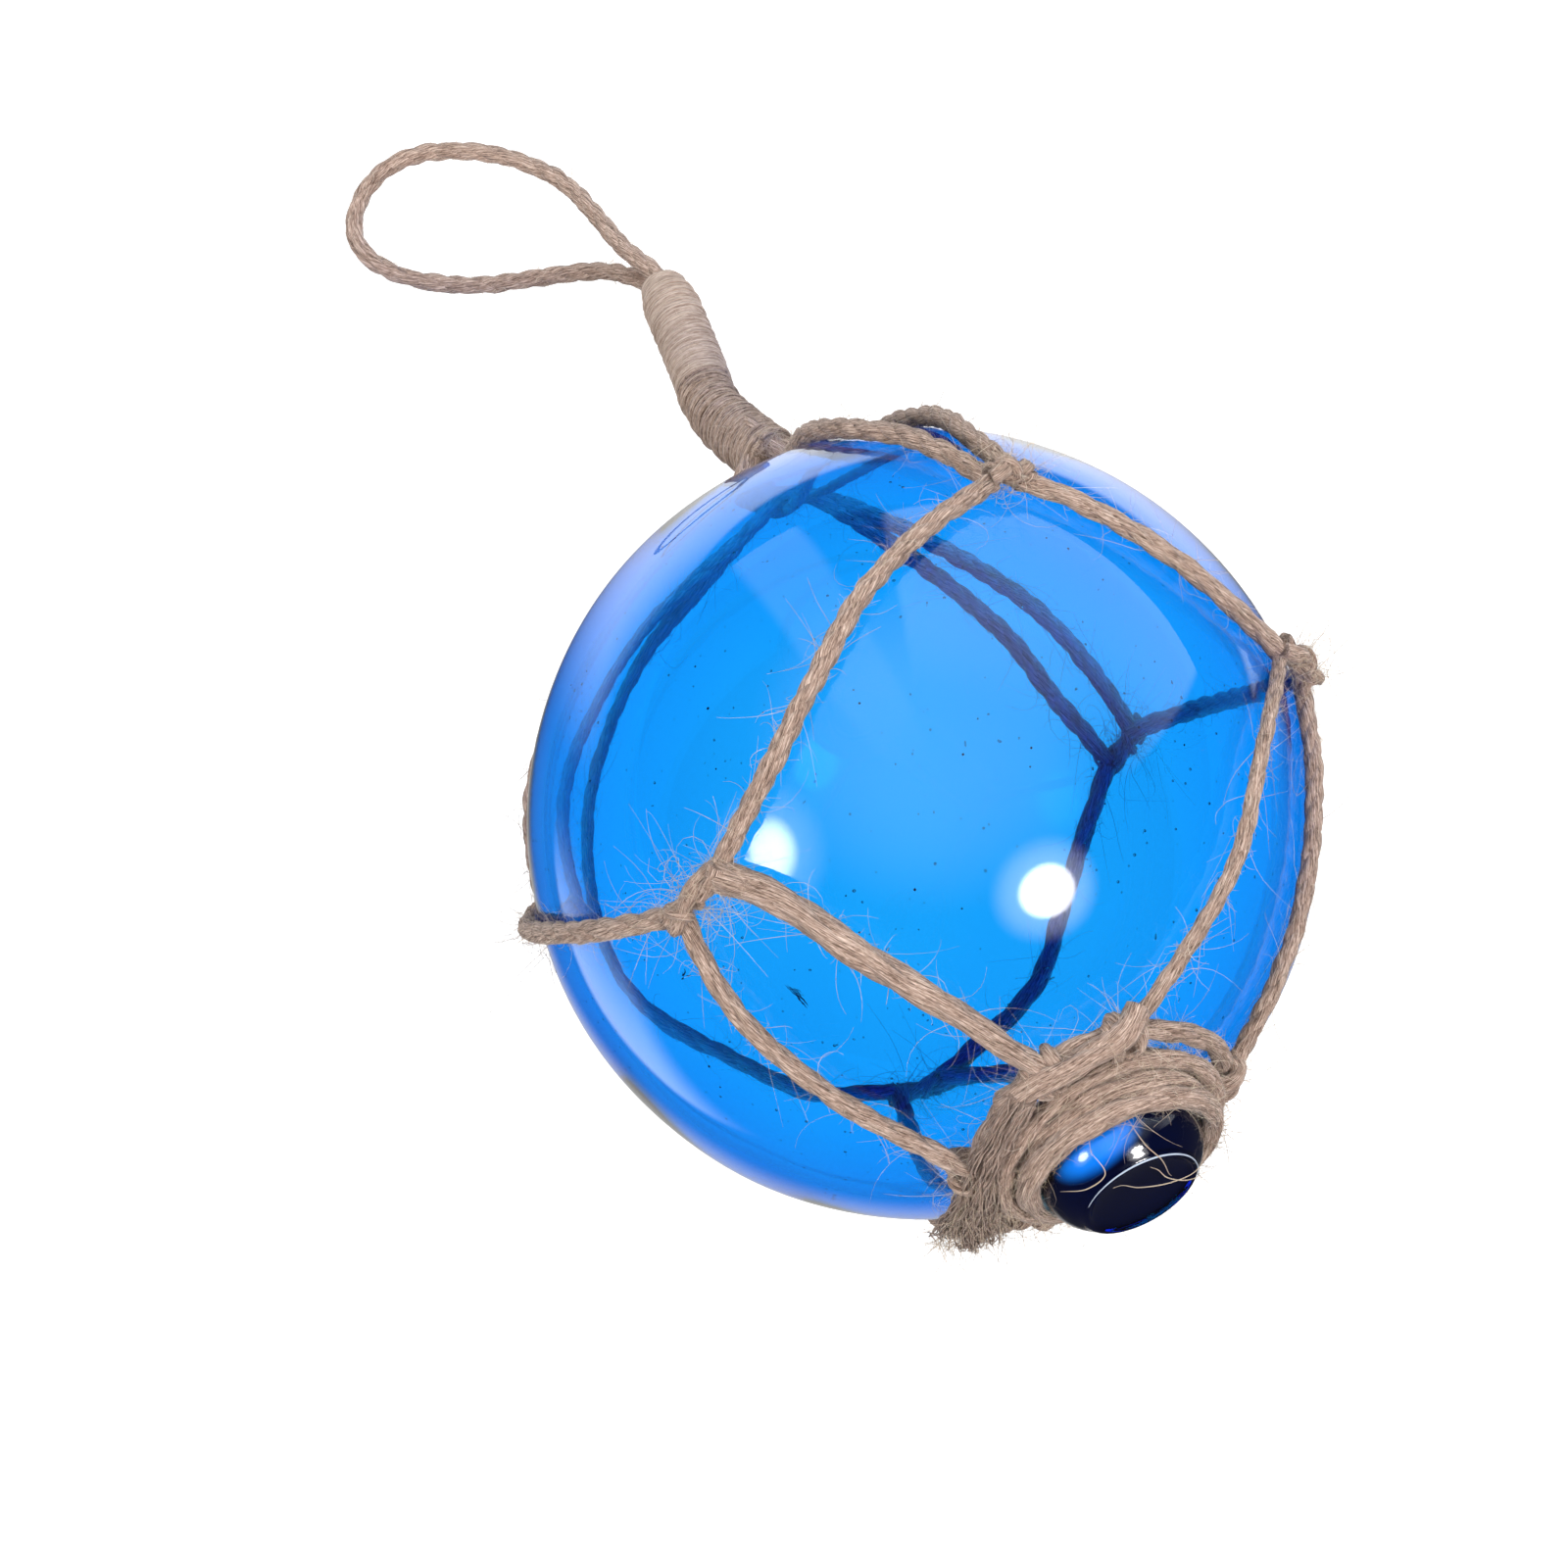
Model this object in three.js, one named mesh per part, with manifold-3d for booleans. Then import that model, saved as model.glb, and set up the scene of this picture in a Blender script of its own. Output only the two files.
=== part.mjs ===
// Glass float ball: a hollow blown glass float in a knotted jute net, with a bound neck and a hanging loop.
// Millimetres, +Z up. The origin is the centre of the small flat spot that the ball rests on.
// The float lies on its side: its seal button is towards -Y, tipped up a little, and its neck towards +Y.
import * as THREE from "three";
import { mergeVertices } from "three/addons/utils/BufferGeometryUtils.js";
import Module from "manifold-3d";

// Driving dimensions
const BALL_DIAMETER = 80;
const REST_SPOT_RADIUS = 5;
const AXIS_RISE_DEG = 18; // how far the button's axis points up from level
const BUTTON_RADIUS = 8.4;
const BUTTON_FACE_RADIUS = 6;
const BUTTON_HEIGHT = 8.5; // the face above the ball's own sphere
const BUTTON_DISH = 0.5; // the face is this much lower at its middle
const CORD_DIAMETER = 2.2;
const RING_CORD_DIAMETER = 2.5;
const LOOP_CORD_DIAMETER = 2.1;
const KNOT_HEIGHT = 3.8;
const KNOT_WIDTH = 5;
const WHIPPING_DIAMETER = 6.6;
const WHIPPING_BORE = 5.2;
const CORE_DIAMETER = 4.4;
const TAIL_END_WIDTH = 9;
const TAIL_END_HEIGHT = 3.4;
const RING_SPACE = 1.2; // bare glass between the hugging ring and the net's own ring
const GAP = 0.3; // between pieces that touch

// Worked out from them
const BALL_RADIUS = BALL_DIAMETER / 2;
const CENTRE_HEIGHT = Math.sqrt(BALL_RADIUS ** 2 - REST_SPOT_RADIUS ** 2);
const CENTRE = new THREE.Vector3(0, 0, CENTRE_HEIGHT);
const RISE = THREE.MathUtils.degToRad(AXIS_RISE_DEG);
const TO_BUTTON = new THREE.Vector3(0, -Math.cos(RISE), Math.sin(RISE));
const TO_NECK = TO_BUTTON.clone().negate();
const UPPER_SIDE = new THREE.Vector3(0, Math.sin(RISE), Math.cos(RISE));
const RIGHT_SIDE = new THREE.Vector3(1, 0, 0);
const CORD_LIFT = GAP + CORD_DIAMETER / 2; // a net cord's middle above the glass

// The net's knots on the ball: degrees from the neck's pole, degrees round it from the upper side
// towards +X, and the half length of the knot's bridge in degrees round.
const UPPER_KNOTS = [
  { polar: 78, round: 26, half: 2.5 },
  { polar: 70, round: 132, half: 5 },
  { polar: 68, round: -108, half: 5 },
];
const LOWER_KNOTS = [
  { polar: 110, round: -44, half: 5.4 },
  { polar: 104, round: 70.5, half: 5 },
  { polar: 98.5, round: -168.5, half: 5 },
];
// The net's cords from neck to upper knot, [which knot, which end, points passed on the way]
const NECK_CORDS = [
  { knot: 0, end: -1, via: [[44, 14], [62, 20]] },
  { knot: 0, end: 1, via: [[48, 34], [64, 29]] },
  { knot: 1, end: -1, via: [[43, 117], [56, 123]] },
  { knot: 1, end: 1, via: [[43, 128], [55, 134]] },
  { knot: 2, end: 1, via: [[42, -89], [57, -94]] },
  { knot: 2, end: -1, via: [[42, -104], [57, -108]] },
];
// From upper knot to lower knot, with the end of each that the cord is at
const WAIST_CORDS = [
  { from: [0, -1], to: [0, 1], via: [[89, 0], [98, -13], [104.5, -24.5]] },
  { from: [0, 1], to: [1, -1], via: [[84.6, 35.6], [94, 46], [101, 57]] },
  { from: [1, -1], to: [1, 1], via: [[78, 114.5], [90, 97]] },
  { from: [1, 1], to: [2, -1], via: [[75, 147.6], [81.5, 157], [90.5, 167], [95, 178]] },
  { from: [2, 1], to: [0, -1], via: [[84.7, -81], [101.4, -60.7]] },
  { from: [2, -1], to: [2, 1], via: [[75, -118], [82.4, -130.8], [89.2, -142.8], [95.3, -152]] },
];
// From lower knot to the ring cord round the button
const BUTTON_CORDS = [
  { knot: 0, end: 1, via: [[119.1, -34.5], [131.2, -31], [144.4, -26]], at: -18 },
  { knot: 0, end: -1, via: [[121.3, -54.3], [132, -58], [143, -62.4]], at: -80 },
  { knot: 1, end: -1, via: [[121, 55], [137.7, 49], [151, 37]], at: 16 },
  { knot: 1, end: 1, via: [[119.8, 74], [135.8, 79], [148, 87]], at: 104 },
  { knot: 2, end: -1, via: [[106, 175], [122, 164], [142, 153]], at: 150 },
  { knot: 2, end: 1, via: [[115, -159], [130, -153], [146, -146]], at: -142 },
];
// The neck, as steps from the neck's pole on the glass: to the right, away from the ball, up
const NECK_ROUTE = [
  [5.2, 10, -1.3], [4.3, 13, -2.8], [3.6, 16.1, -4.3], [3.5, 19.7, -6.1],
  [4.2, 23.6, -7.9], [4.8, 28.2, -9.5], [5.3, 32.5, -11], [5.7, 36.3, -12.3],
];
// The hanging loop, as steps from the neck's end to the right and away from the ball, and the share
// of the neck end's height that is left: 1 at the neck and 0 where the cord lies on the surface.
const LOOP_ROUTE = [
  [-0.5, -3.8, 1.19], [0, 0.4, 1.08], [-0.8, 3.7, 0.98], [-1.5, 6.2, 0.9], [-2, 9.7, 0.77],
  [-2.5, 14.5, 0.62], [-3.4, 19.2, 0.47], [-5.3, 23.3, 0.33], [-8, 26.9, 0.22], [-11.6, 30, 0.12],
  [-15.4, 32, 0.05], [-19, 32.5, 0.01], [-22.4, 31.5, 0], [-25.1, 29.3, 0], [-26.6, 26.6, 0],
  [-26.4, 23.5, 0], [-24.5, 20.4, 0], [-22, 17.9, 0.01], [-18.6, 15.5, 0.04], [-15, 13.5, 0.1],
  [-10.8, 11.6, 0.2], [-6.9, 9.5, 0.33], [-4.1, 7.5, 0.47], [-2.3, 5, 0.63], [-1.1, 2.6, 0.78],
  [0, -0.4, 0.92], [-0.5, -4.6, 1.02],
];
// The frayed tail of the ring's cord, over the glass on the left of the button
const TAIL_ROUTE = [[160, -30], [162, -60], [161.5, -90], [157.5, -116], [151, -134]];

const wasm = await Module();
wasm.setup();

const MATERIALS = {
  glass: new THREE.MeshStandardMaterial({ color: 0x1170e8, roughness: 0.05, metalness: 0 }),
  jute: new THREE.MeshStandardMaterial({ color: 0xaf8c69, roughness: 0.95, metalness: 0 }),
  twine: new THREE.MeshStandardMaterial({ color: 0xb9a088, roughness: 0.9, metalness: 0 }),
};

// A point over the ball at polar and round angles in degrees, lifted off the glass
function overGlass([polar, round], lift) {
  const p = THREE.MathUtils.degToRad(polar);
  const r = THREE.MathUtils.degToRad(round);
  return TO_NECK.clone()
    .multiplyScalar(Math.cos(p))
    .addScaledVector(UPPER_SIDE, Math.sin(p) * Math.cos(r))
    .addScaledVector(RIGHT_SIDE, Math.sin(p) * Math.sin(r))
    .multiplyScalar(BALL_RADIUS + lift)
    .add(CENTRE);
}

// A smooth curve through points that never comes nearer the glass than the cord's middle can
class HuggingCurve extends THREE.Curve {
  constructor(points, lift) {
    super();
    this.inner = new THREE.CatmullRomCurve3(points, false, "centripetal");
    this.least = BALL_RADIUS + lift;
  }
  getPoint(t, target = new THREE.Vector3()) {
    this.inner.getPoint(t, target).sub(CENTRE);
    if (target.length() < this.least) target.setLength(this.least);
    return target.add(CENTRE);
  }
}

function roundSection(diameter, sides) {
  const corners = [];
  for (let i = 0; i < sides; i++) {
    const a = (i / sides) * 2 * Math.PI;
    corners.push(new THREE.Vector2(Math.cos(a), Math.sin(a)).multiplyScalar(diameter / 2));
  }
  return new THREE.Shape(corners);
}

function cordAlong(curve, diameter, stepLength = 2.8 * diameter, sides = 8) {
  const steps = Math.max(2, Math.ceil(curve.getLength() / stepLength));
  return new THREE.ExtrudeGeometry(roundSection(diameter, sides), {
    steps,
    extrudePath: curve,
    bevelEnabled: false,
  });
}

// Bends a piece that is turned about the Y axis so that its axis follows a curve, its Y being a length.
// On the glass its X points off the glass all the way.
function bentAlong(geometry, curve, onGlass = false) {
  const steps = 60;
  const frames = curve.computeFrenetFrames(steps, false);
  if (onGlass) {
    for (let k = 0; k <= steps; k++) {
      const out = curve.getPointAt(k / steps).sub(CENTRE);
      frames.normals[k].copy(out.addScaledVector(frames.tangents[k], -out.dot(frames.tangents[k]))).normalize();
      frames.binormals[k].crossVectors(frames.tangents[k], frames.normals[k]);
    }
  }
  const length = curve.getLength();
  const position = geometry.getAttribute("position");
  const point = new THREE.Vector3();
  for (let i = 0; i < position.count; i++) {
    const u = THREE.MathUtils.clamp(position.getY(i) / length, 0, 1);
    const k = Math.min(steps, Math.round(u * steps));
    curve.getPointAt(u, point);
    point.addScaledVector(frames.normals[k], position.getX(i));
    point.addScaledVector(frames.binormals[k], -position.getZ(i));
    position.setXYZ(i, point.x, point.y, point.z);
  }
  return geometry;
}

function toSolid(geometry) {
  const bare = geometry.clone();
  for (const name of ["normal", "uv"]) bare.deleteAttribute(name);
  const merged = mergeVertices(bare, 1e-4);
  return new wasm.Manifold(
    new wasm.Mesh({
      numProp: 3,
      vertProperties: merged.getAttribute("position").array,
      triVerts: new Uint32Array(merged.index.array),
    }),
  );
}

function toGeometry(solid) {
  const mesh = solid.getMesh();
  const geometry = new THREE.BufferGeometry();
  geometry.setAttribute("position", new THREE.BufferAttribute(mesh.vertProperties, 3));
  geometry.setIndex(new THREE.BufferAttribute(mesh.triVerts, 1));
  geometry.computeVertexNormals();
  return geometry;
}

function joined(geometries) {
  const solids = geometries.map(toSolid);
  return toGeometry(solids.slice(1).reduce((all, next) => all.add(next), solids[0]));
}

function namedMesh(name, geometry, material) {
  const mesh = new THREE.Mesh(geometry, material);
  mesh.name = name;
  return mesh;
}

// The blown ball and its seal button, one piece of glass with a small flat rest spot
function glassFloat() {
  const rows = 26;
  const waist = Math.asin((BUTTON_RADIUS - 0.7) / BALL_RADIUS);
  const profile = [];
  for (let i = 0; i <= rows; i++) {
    const a = (i / rows) * (Math.PI - waist);
    profile.push(new THREE.Vector2(BALL_RADIUS * Math.sin(a), -BALL_RADIUS * Math.cos(a)));
  }
  profile[0].x = 0;
  const face = BALL_RADIUS + BUTTON_HEIGHT;
  const root = profile[rows].y;
  const side = (face - root) / 2;
  const bulge = 9;
  for (let i = 1; i < bulge; i++) {
    const a = -Math.PI / 2 + (i / bulge) * Math.PI;
    const out = Math.cos(a);
    const up = Math.sin(a);
    const inner = up < 0 ? BUTTON_RADIUS - 0.7 : BUTTON_FACE_RADIUS;
    profile.push(new THREE.Vector2(inner + (BUTTON_RADIUS - inner) * Math.sqrt(out), root + side * (1 + up)));
  }
  profile.push(new THREE.Vector2(BUTTON_FACE_RADIUS, face));
  profile.push(new THREE.Vector2(BUTTON_FACE_RADIUS - 0.8, face - 0.15));
  profile.push(new THREE.Vector2(BUTTON_FACE_RADIUS / 2, face - BUTTON_DISH));
  profile.push(new THREE.Vector2(0, face - BUTTON_DISH));
  const turned = new THREE.LatheGeometry(profile, 36);
  turned.applyQuaternion(new THREE.Quaternion().setFromUnitVectors(new THREE.Vector3(0, 1, 0), TO_BUTTON));
  turned.translate(CENTRE.x, CENTRE.y, CENTRE.z);
  const below = new THREE.BoxGeometry(BALL_DIAMETER, BALL_DIAMETER, 10).translate(0, 0, -5);
  const geometry = toGeometry(toSolid(turned).subtract(toSolid(below)));
  return namedMesh("glass_float", geometry, MATERIALS.glass);
}

function neckPoints() {
  const pole = TO_NECK.clone().multiplyScalar(BALL_RADIUS).add(CENTRE);
  return NECK_ROUTE.map((step) => new THREE.Vector3(...step).add(pole));
}

// A knot: a rounded lump along its bridge, lying on the glass
function knotOver(place, halfLength, width, height) {
  const middle = overGlass(place, GAP + height / 2);
  const out = middle.clone().sub(CENTRE).normalize();
  const along = overGlass([place[0], place[1] + 2], GAP + height / 2).sub(middle);
  along.addScaledVector(out, -along.dot(out)).normalize();
  const across = new THREE.Vector3().crossVectors(out, along);
  const ball = new THREE.SphereGeometry(1, 8, 6);
  ball.scale(halfLength, width / 2, height / 2);
  ball.applyMatrix4(new THREE.Matrix4().makeBasis(along, across, out).setPosition(middle));
  return ball;
}

function knotEnd(knot, end) {
  return [knot.polar, knot.round + end * knot.half];
}

// The ring that the net's cords are tied to lies just outside the ring that hugs the button
function ringSizes() {
  const hugging = BUTTON_RADIUS + GAP + RING_CORD_DIAMETER / 2;
  const outer = hugging + RING_CORD_DIAMETER / 2 + CORD_DIAMETER / 2 + RING_SPACE;
  const polar = 180 - THREE.MathUtils.radToDeg(Math.asin(outer / (BALL_RADIUS + CORD_LIFT)));
  return { hugging, outer, polar };
}

function ringRoundAxis(radius, along, diameter, around) {
  const ring = new THREE.TorusGeometry(radius, diameter / 2, 6, around);
  ring.applyQuaternion(new THREE.Quaternion().setFromUnitVectors(new THREE.Vector3(0, 0, 1), TO_BUTTON));
  return ring.translate(...TO_BUTTON.clone().multiplyScalar(along).add(CENTRE).toArray());
}

// How far along the button's axis a ring of cord rests on the glass
function restingAlong(radius, diameter) {
  return Math.sqrt((BALL_RADIUS + GAP + diameter / 2) ** 2 - radius ** 2);
}

// The frayed end of cord: a tuft that widens and flattens towards its cut tip
function frayedTail() {
  const points = TAIL_ROUTE.map((place) => overGlass(place, CORD_LIFT + TAIL_END_HEIGHT / 2));
  const curve = new HuggingCurve(points, CORD_LIFT);
  const length = curve.getLength();
  const profile = [new THREE.Vector2(0, 0)];
  const rows = 7;
  for (let i = 0; i <= rows; i++) {
    const u = i / rows;
    profile.push(new THREE.Vector2(CORD_DIAMETER / 2 + u * (TAIL_END_HEIGHT - CORD_DIAMETER) / 2, u * length));
  }
  profile.push(new THREE.Vector2(0, length));
  const tuft = new THREE.LatheGeometry(profile, 10);
  const position = tuft.getAttribute("position");
  for (let i = 0; i < position.count; i++) {
    const u = position.getY(i) / length;
    position.setZ(i, position.getZ(i) * (1 + u * u * (TAIL_END_WIDTH / TAIL_END_HEIGHT - 1)));
  }
  return bentAlong(tuft, curve, true);
}

// The knotted net: six cords from the neck to the ring round the button, tied in pairs
function cordNet() {
  const neck = neckPoints();
  const root = neck[0];
  const inward = neck[1].clone().sub(root).normalize();
  const pieces = [];
  const run = (points) =>
    pieces.push(cordAlong(new HuggingCurve(points, CORD_LIFT), CORD_DIAMETER, undefined, 6));
  const on = (place) => overGlass(place, CORD_LIFT);
  for (const { knot, end, via } of NECK_CORDS) {
    const start = root.clone().addScaledVector(inward, -0.5);
    run([start, ...via.map(on), on(knotEnd(UPPER_KNOTS[knot], end * 0.6))]);
  }
  for (const { from, to, via } of WAIST_CORDS) {
    const first = knotEnd(UPPER_KNOTS[from[0]], from[1] * 0.8);
    const last = knotEnd(LOWER_KNOTS[to[0]], to[1] * 0.8);
    run([on(first), ...via.map(on), on(last)]);
  }
  const ring = ringSizes();
  for (const { knot, end, via, at } of BUTTON_CORDS) {
    run([on(knotEnd(LOWER_KNOTS[knot], end * 0.8)), ...via.map(on), on([ring.polar, at])]);
    pieces.push(knotOver([ring.polar - 0.5, at], KNOT_WIDTH / 2, KNOT_WIDTH * 0.8, KNOT_HEIGHT * 0.9));
  }
  for (const knot of [...UPPER_KNOTS, ...LOWER_KNOTS]) {
    const degree = (Math.PI / 180) * (BALL_RADIUS + CORD_LIFT) * Math.sin((knot.polar * Math.PI) / 180);
    const half = knot.half * degree + CORD_DIAMETER / 2;
    pieces.push(knotOver([knot.polar, knot.round], half, KNOT_WIDTH, KNOT_HEIGHT));
  }
  const along = restingAlong(ring.outer, CORD_DIAMETER);
  pieces.push(ringRoundAxis(ring.outer, along, CORD_DIAMETER, 24));
  pieces.push(frayedTail());
  pieces.push(new THREE.SphereGeometry(WHIPPING_DIAMETER / 2, 10, 6).translate(...root.toArray()));
  const middle = new THREE.CatmullRomCurve3(neck, false, "centripetal");
  const bound = [0, 0.1, 0.2, 0.3, 0.4, 0.5].map((u) => middle.getPointAt(u));
  pieces.push(cordAlong(new THREE.CatmullRomCurve3(bound), CORE_DIAMETER, 1.8));
  return namedMesh("cord_net", joined(pieces), MATERIALS.jute);
}

// The thick cord wound twice round the button, the second turn on top of the first
function buttonRing() {
  const { hugging } = ringSizes();
  const along = restingAlong(hugging, RING_CORD_DIAMETER);
  const turns = [0, RING_CORD_DIAMETER * 0.85].map((up) =>
    ringRoundAxis(hugging, along + up, RING_CORD_DIAMETER, 24));
  return namedMesh("button_ring", joined(turns), MATERIALS.jute);
}

// The twine bound round the neck, a sleeve that is fuller at its root and drawn in at its top
function neckWhipping() {
  const curve = new THREE.CatmullRomCurve3(neckPoints(), false, "centripetal");
  const length = curve.getLength();
  const start = WHIPPING_DIAMETER / 2 + 3 * GAP;
  const bore = WHIPPING_BORE / 2;
  const profile = [new THREE.Vector2(bore, start)];
  const rows = 12;
  for (let i = 0; i <= rows; i++) {
    const u = i / rows;
    const fuller = 0.15 * Math.cos(Math.min(1, u * 2.4) * Math.PI);
    const drawnIn = 0.35 * Math.max(0, (u - 0.85) / 0.15);
    const radius = WHIPPING_DIAMETER / 2 + fuller - drawnIn;
    profile.push(new THREE.Vector2(radius, start + u * (length - start)));
  }
  for (let i = rows; i >= 0; i--) profile.push(new THREE.Vector2(bore, start + (i / rows) * (length - start)));
  const sleeve = bentAlong(new THREE.LatheGeometry(profile, 14), curve);
  return namedMesh("neck_whipping", sleeve, MATERIALS.twine);
}

// The hanging loop, one cord whose two ends are bound into the neck
function hangingLoop() {
  const neck = neckPoints();
  const top = neck[neck.length - 1];
  const lowest = LOOP_CORD_DIAMETER / 2;
  const points = LOOP_ROUTE.map(([x, y, share]) =>
    new THREE.Vector3(top.x + x, top.y + y, lowest + share * (top.z - lowest)));
  const curve = new THREE.CatmullRomCurve3(points, false, "centripetal");
  return namedMesh("hanging_loop", cordAlong(curve, LOOP_CORD_DIAMETER, 2.8), MATERIALS.jute);
}

const float = new THREE.Group();
float.add(glassFloat(), cordNet(), buttonRing(), neckWhipping(), hangingLoop());

export default float;
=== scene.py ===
"""Glass float ball in a knotted jute net, lying on a pale floor.

Every length is in metres, in the frame that the solids come in: +Z up, the origin at the
centre of the flat spot that the ball rests on, the seal button towards -Y.
"""

import logging
import math
from dataclasses import dataclass, field
from enum import Enum

import bmesh
import bpy
import numpy as np
from mathutils import Matrix

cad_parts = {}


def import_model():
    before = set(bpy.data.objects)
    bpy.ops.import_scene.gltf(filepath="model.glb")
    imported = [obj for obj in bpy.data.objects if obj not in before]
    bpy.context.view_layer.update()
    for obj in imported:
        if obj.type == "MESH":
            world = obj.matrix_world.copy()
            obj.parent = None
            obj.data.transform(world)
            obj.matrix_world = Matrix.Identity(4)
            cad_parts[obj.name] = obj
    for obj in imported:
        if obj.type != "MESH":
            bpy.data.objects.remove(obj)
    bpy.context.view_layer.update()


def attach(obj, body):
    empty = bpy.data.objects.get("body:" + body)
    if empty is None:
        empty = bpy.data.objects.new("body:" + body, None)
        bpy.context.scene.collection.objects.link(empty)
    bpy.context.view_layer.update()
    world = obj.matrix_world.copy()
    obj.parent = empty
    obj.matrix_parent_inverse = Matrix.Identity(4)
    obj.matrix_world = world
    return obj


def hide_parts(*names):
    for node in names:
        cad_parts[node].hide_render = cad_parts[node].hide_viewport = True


LOG = logging.getLogger("glass_float")
MM = 0.001
SEED = 17
Array = np.ndarray
NO_QUADS = np.zeros((0, 4), int)


class Lay(Enum):
    """How tightly a cord is laid: the length of one turn, in cord diameters."""

    MEDIUM = 4.2
    SOFT = 6.0
    OPEN = 9.0


def unit(v: Array) -> Array:
    """The vectors at length one, along the last axis."""
    return v / np.maximum(np.linalg.norm(v, axis=-1, keepdims=True), 1e-12)


def even_path(points: Array, step: float) -> Array:
    """A smooth line through points, at even spacing.

    Args:
        points: the points that the line passes, n by 3.
        step: about how far apart the result's points are.

    Returns:
        The line's points, m by 3.
    """
    p = np.asarray(points, float)
    p = np.vstack([2 * p[0] - p[1], p, 2 * p[-1] - p[-2]])
    knots = np.concatenate([[0], np.cumsum(np.linalg.norm(np.diff(p, axis=0), axis=1) ** 0.5)])
    fine = []
    for i in range(1, len(p) - 2):
        t0, t1, t2, t3 = knots[i - 1 : i + 3]
        t = np.linspace(t1, t2, 24, endpoint=False)[:, None]
        a1 = (t1 - t) / (t1 - t0) * p[i - 1] + (t - t0) / (t1 - t0) * p[i]
        a2 = (t2 - t) / (t2 - t1) * p[i] + (t - t1) / (t2 - t1) * p[i + 1]
        a3 = (t3 - t) / (t3 - t2) * p[i + 1] + (t - t2) / (t3 - t2) * p[i + 2]
        b1 = (t2 - t) / (t2 - t0) * a1 + (t - t0) / (t2 - t0) * a2
        b2 = (t3 - t) / (t3 - t1) * a2 + (t - t1) / (t3 - t1) * a3
        fine.append((t2 - t) / (t2 - t1) * b1 + (t - t1) / (t2 - t1) * b2)
    line = np.vstack([*fine, p[-2]])
    return respaced(line, step)


def respaced(line: Array, step: float) -> Array:
    """The same line with its points at even spacing.

    Args:
        line: the line's points.
        step: about how far apart the result's points are.

    Returns:
        The points.
    """
    along = lengths_along(line)
    count = max(3, int(round(along[-1] / step)) + 1)
    return read_between(line, along, np.linspace(0, along[-1], count))


def read_between(values: Array, along: Array, at: Array) -> Array:
    """What a line's points carry, read at places along it that lie between them."""
    return np.stack([np.interp(at, along, values[:, k]) for k in range(3)], axis=1)


def lengths_along(line: Array) -> Array:
    """How far along the line each of its points is."""
    return np.concatenate([[0], np.cumsum(np.linalg.norm(np.diff(line, axis=0), axis=1))])


def carried_frames(line: Array) -> tuple[Array, Array, Array]:
    """Directions along and across a line, carried along it without a twist.

    Args:
        line: the line's points.

    Returns:
        The tangents, and two directions across.
    """
    tangent = unit(np.gradient(line, axis=0))
    start = np.array([0.0, 0.0, 1.0])
    if abs(start @ tangent[0]) > 0.95:
        start = np.array([1.0, 0.0, 0.0])
    across = np.empty_like(line)
    across[0] = unit(start - (start @ tangent[0]) * tangent[0])
    for i in range(1, len(line)):
        v = across[i - 1] - (across[i - 1] @ tangent[i]) * tangent[i]
        across[i] = v / np.linalg.norm(v)
    return tangent, across, np.cross(tangent, across)


def drifting(rng: np.random.Generator, along: Array, reach: float, columns: int) -> Array:
    """Smooth random values that drift along a line.

    Args:
        rng: where the random numbers come from.
        along: how far along the line each of its points is.
        reach: about how far apart the turns of a value are.
        columns: how many tracks of values there are.

    Returns:
        Values between -1 and 1, one column for each track.
    """
    knots = max(4, int(along[-1] / reach) + 3)
    values = rng.uniform(-1, 1, (knots, columns))
    at = along / max(along[-1], 1e-9) * (knots - 2)
    i = np.minimum(at.astype(int), knots - 2)
    t = (at - i)[:, None]
    t = t * t * (3 - 2 * t)
    return values[i] * (1 - t) + values[i + 1] * t


def corner_angles(count: int) -> Array:
    """Angles spread evenly round a circle, in radians."""
    return np.arange(count) / count * 2 * math.pi


def turned_by(angle: Array, first: Array, second: Array) -> Array:
    """The directions at angles, turned from a first direction towards a second."""
    return np.cos(angle)[:, None] * first + np.sin(angle)[:, None] * second


def round_section(radius: Array, sides: int) -> Array:
    """The corners of a swept tube's round sections, from its radius at each point."""
    corner = corner_angles(sides)
    return radius[:, None, None] * np.stack([np.cos(corner), np.sin(corner)], axis=-1)[None]


def small_ball(inward: bool) -> tuple[Array, Array]:
    """A coarse ball of radius one, for bubbles and specks.

    Args:
        inward: whether its faces look inwards, as a bubble's do.

    Returns:
        Its points and its triangles.
    """
    ball = bmesh.new()
    bmesh.ops.create_icosphere(ball, subdivisions=1, radius=1)
    points = np.array([v.co for v in ball.verts])
    tris = np.array([[v.index for v in face.verts] for face in ball.faces])
    ball.free()
    return points, tris[:, ::-1] if inward else tris


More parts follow.
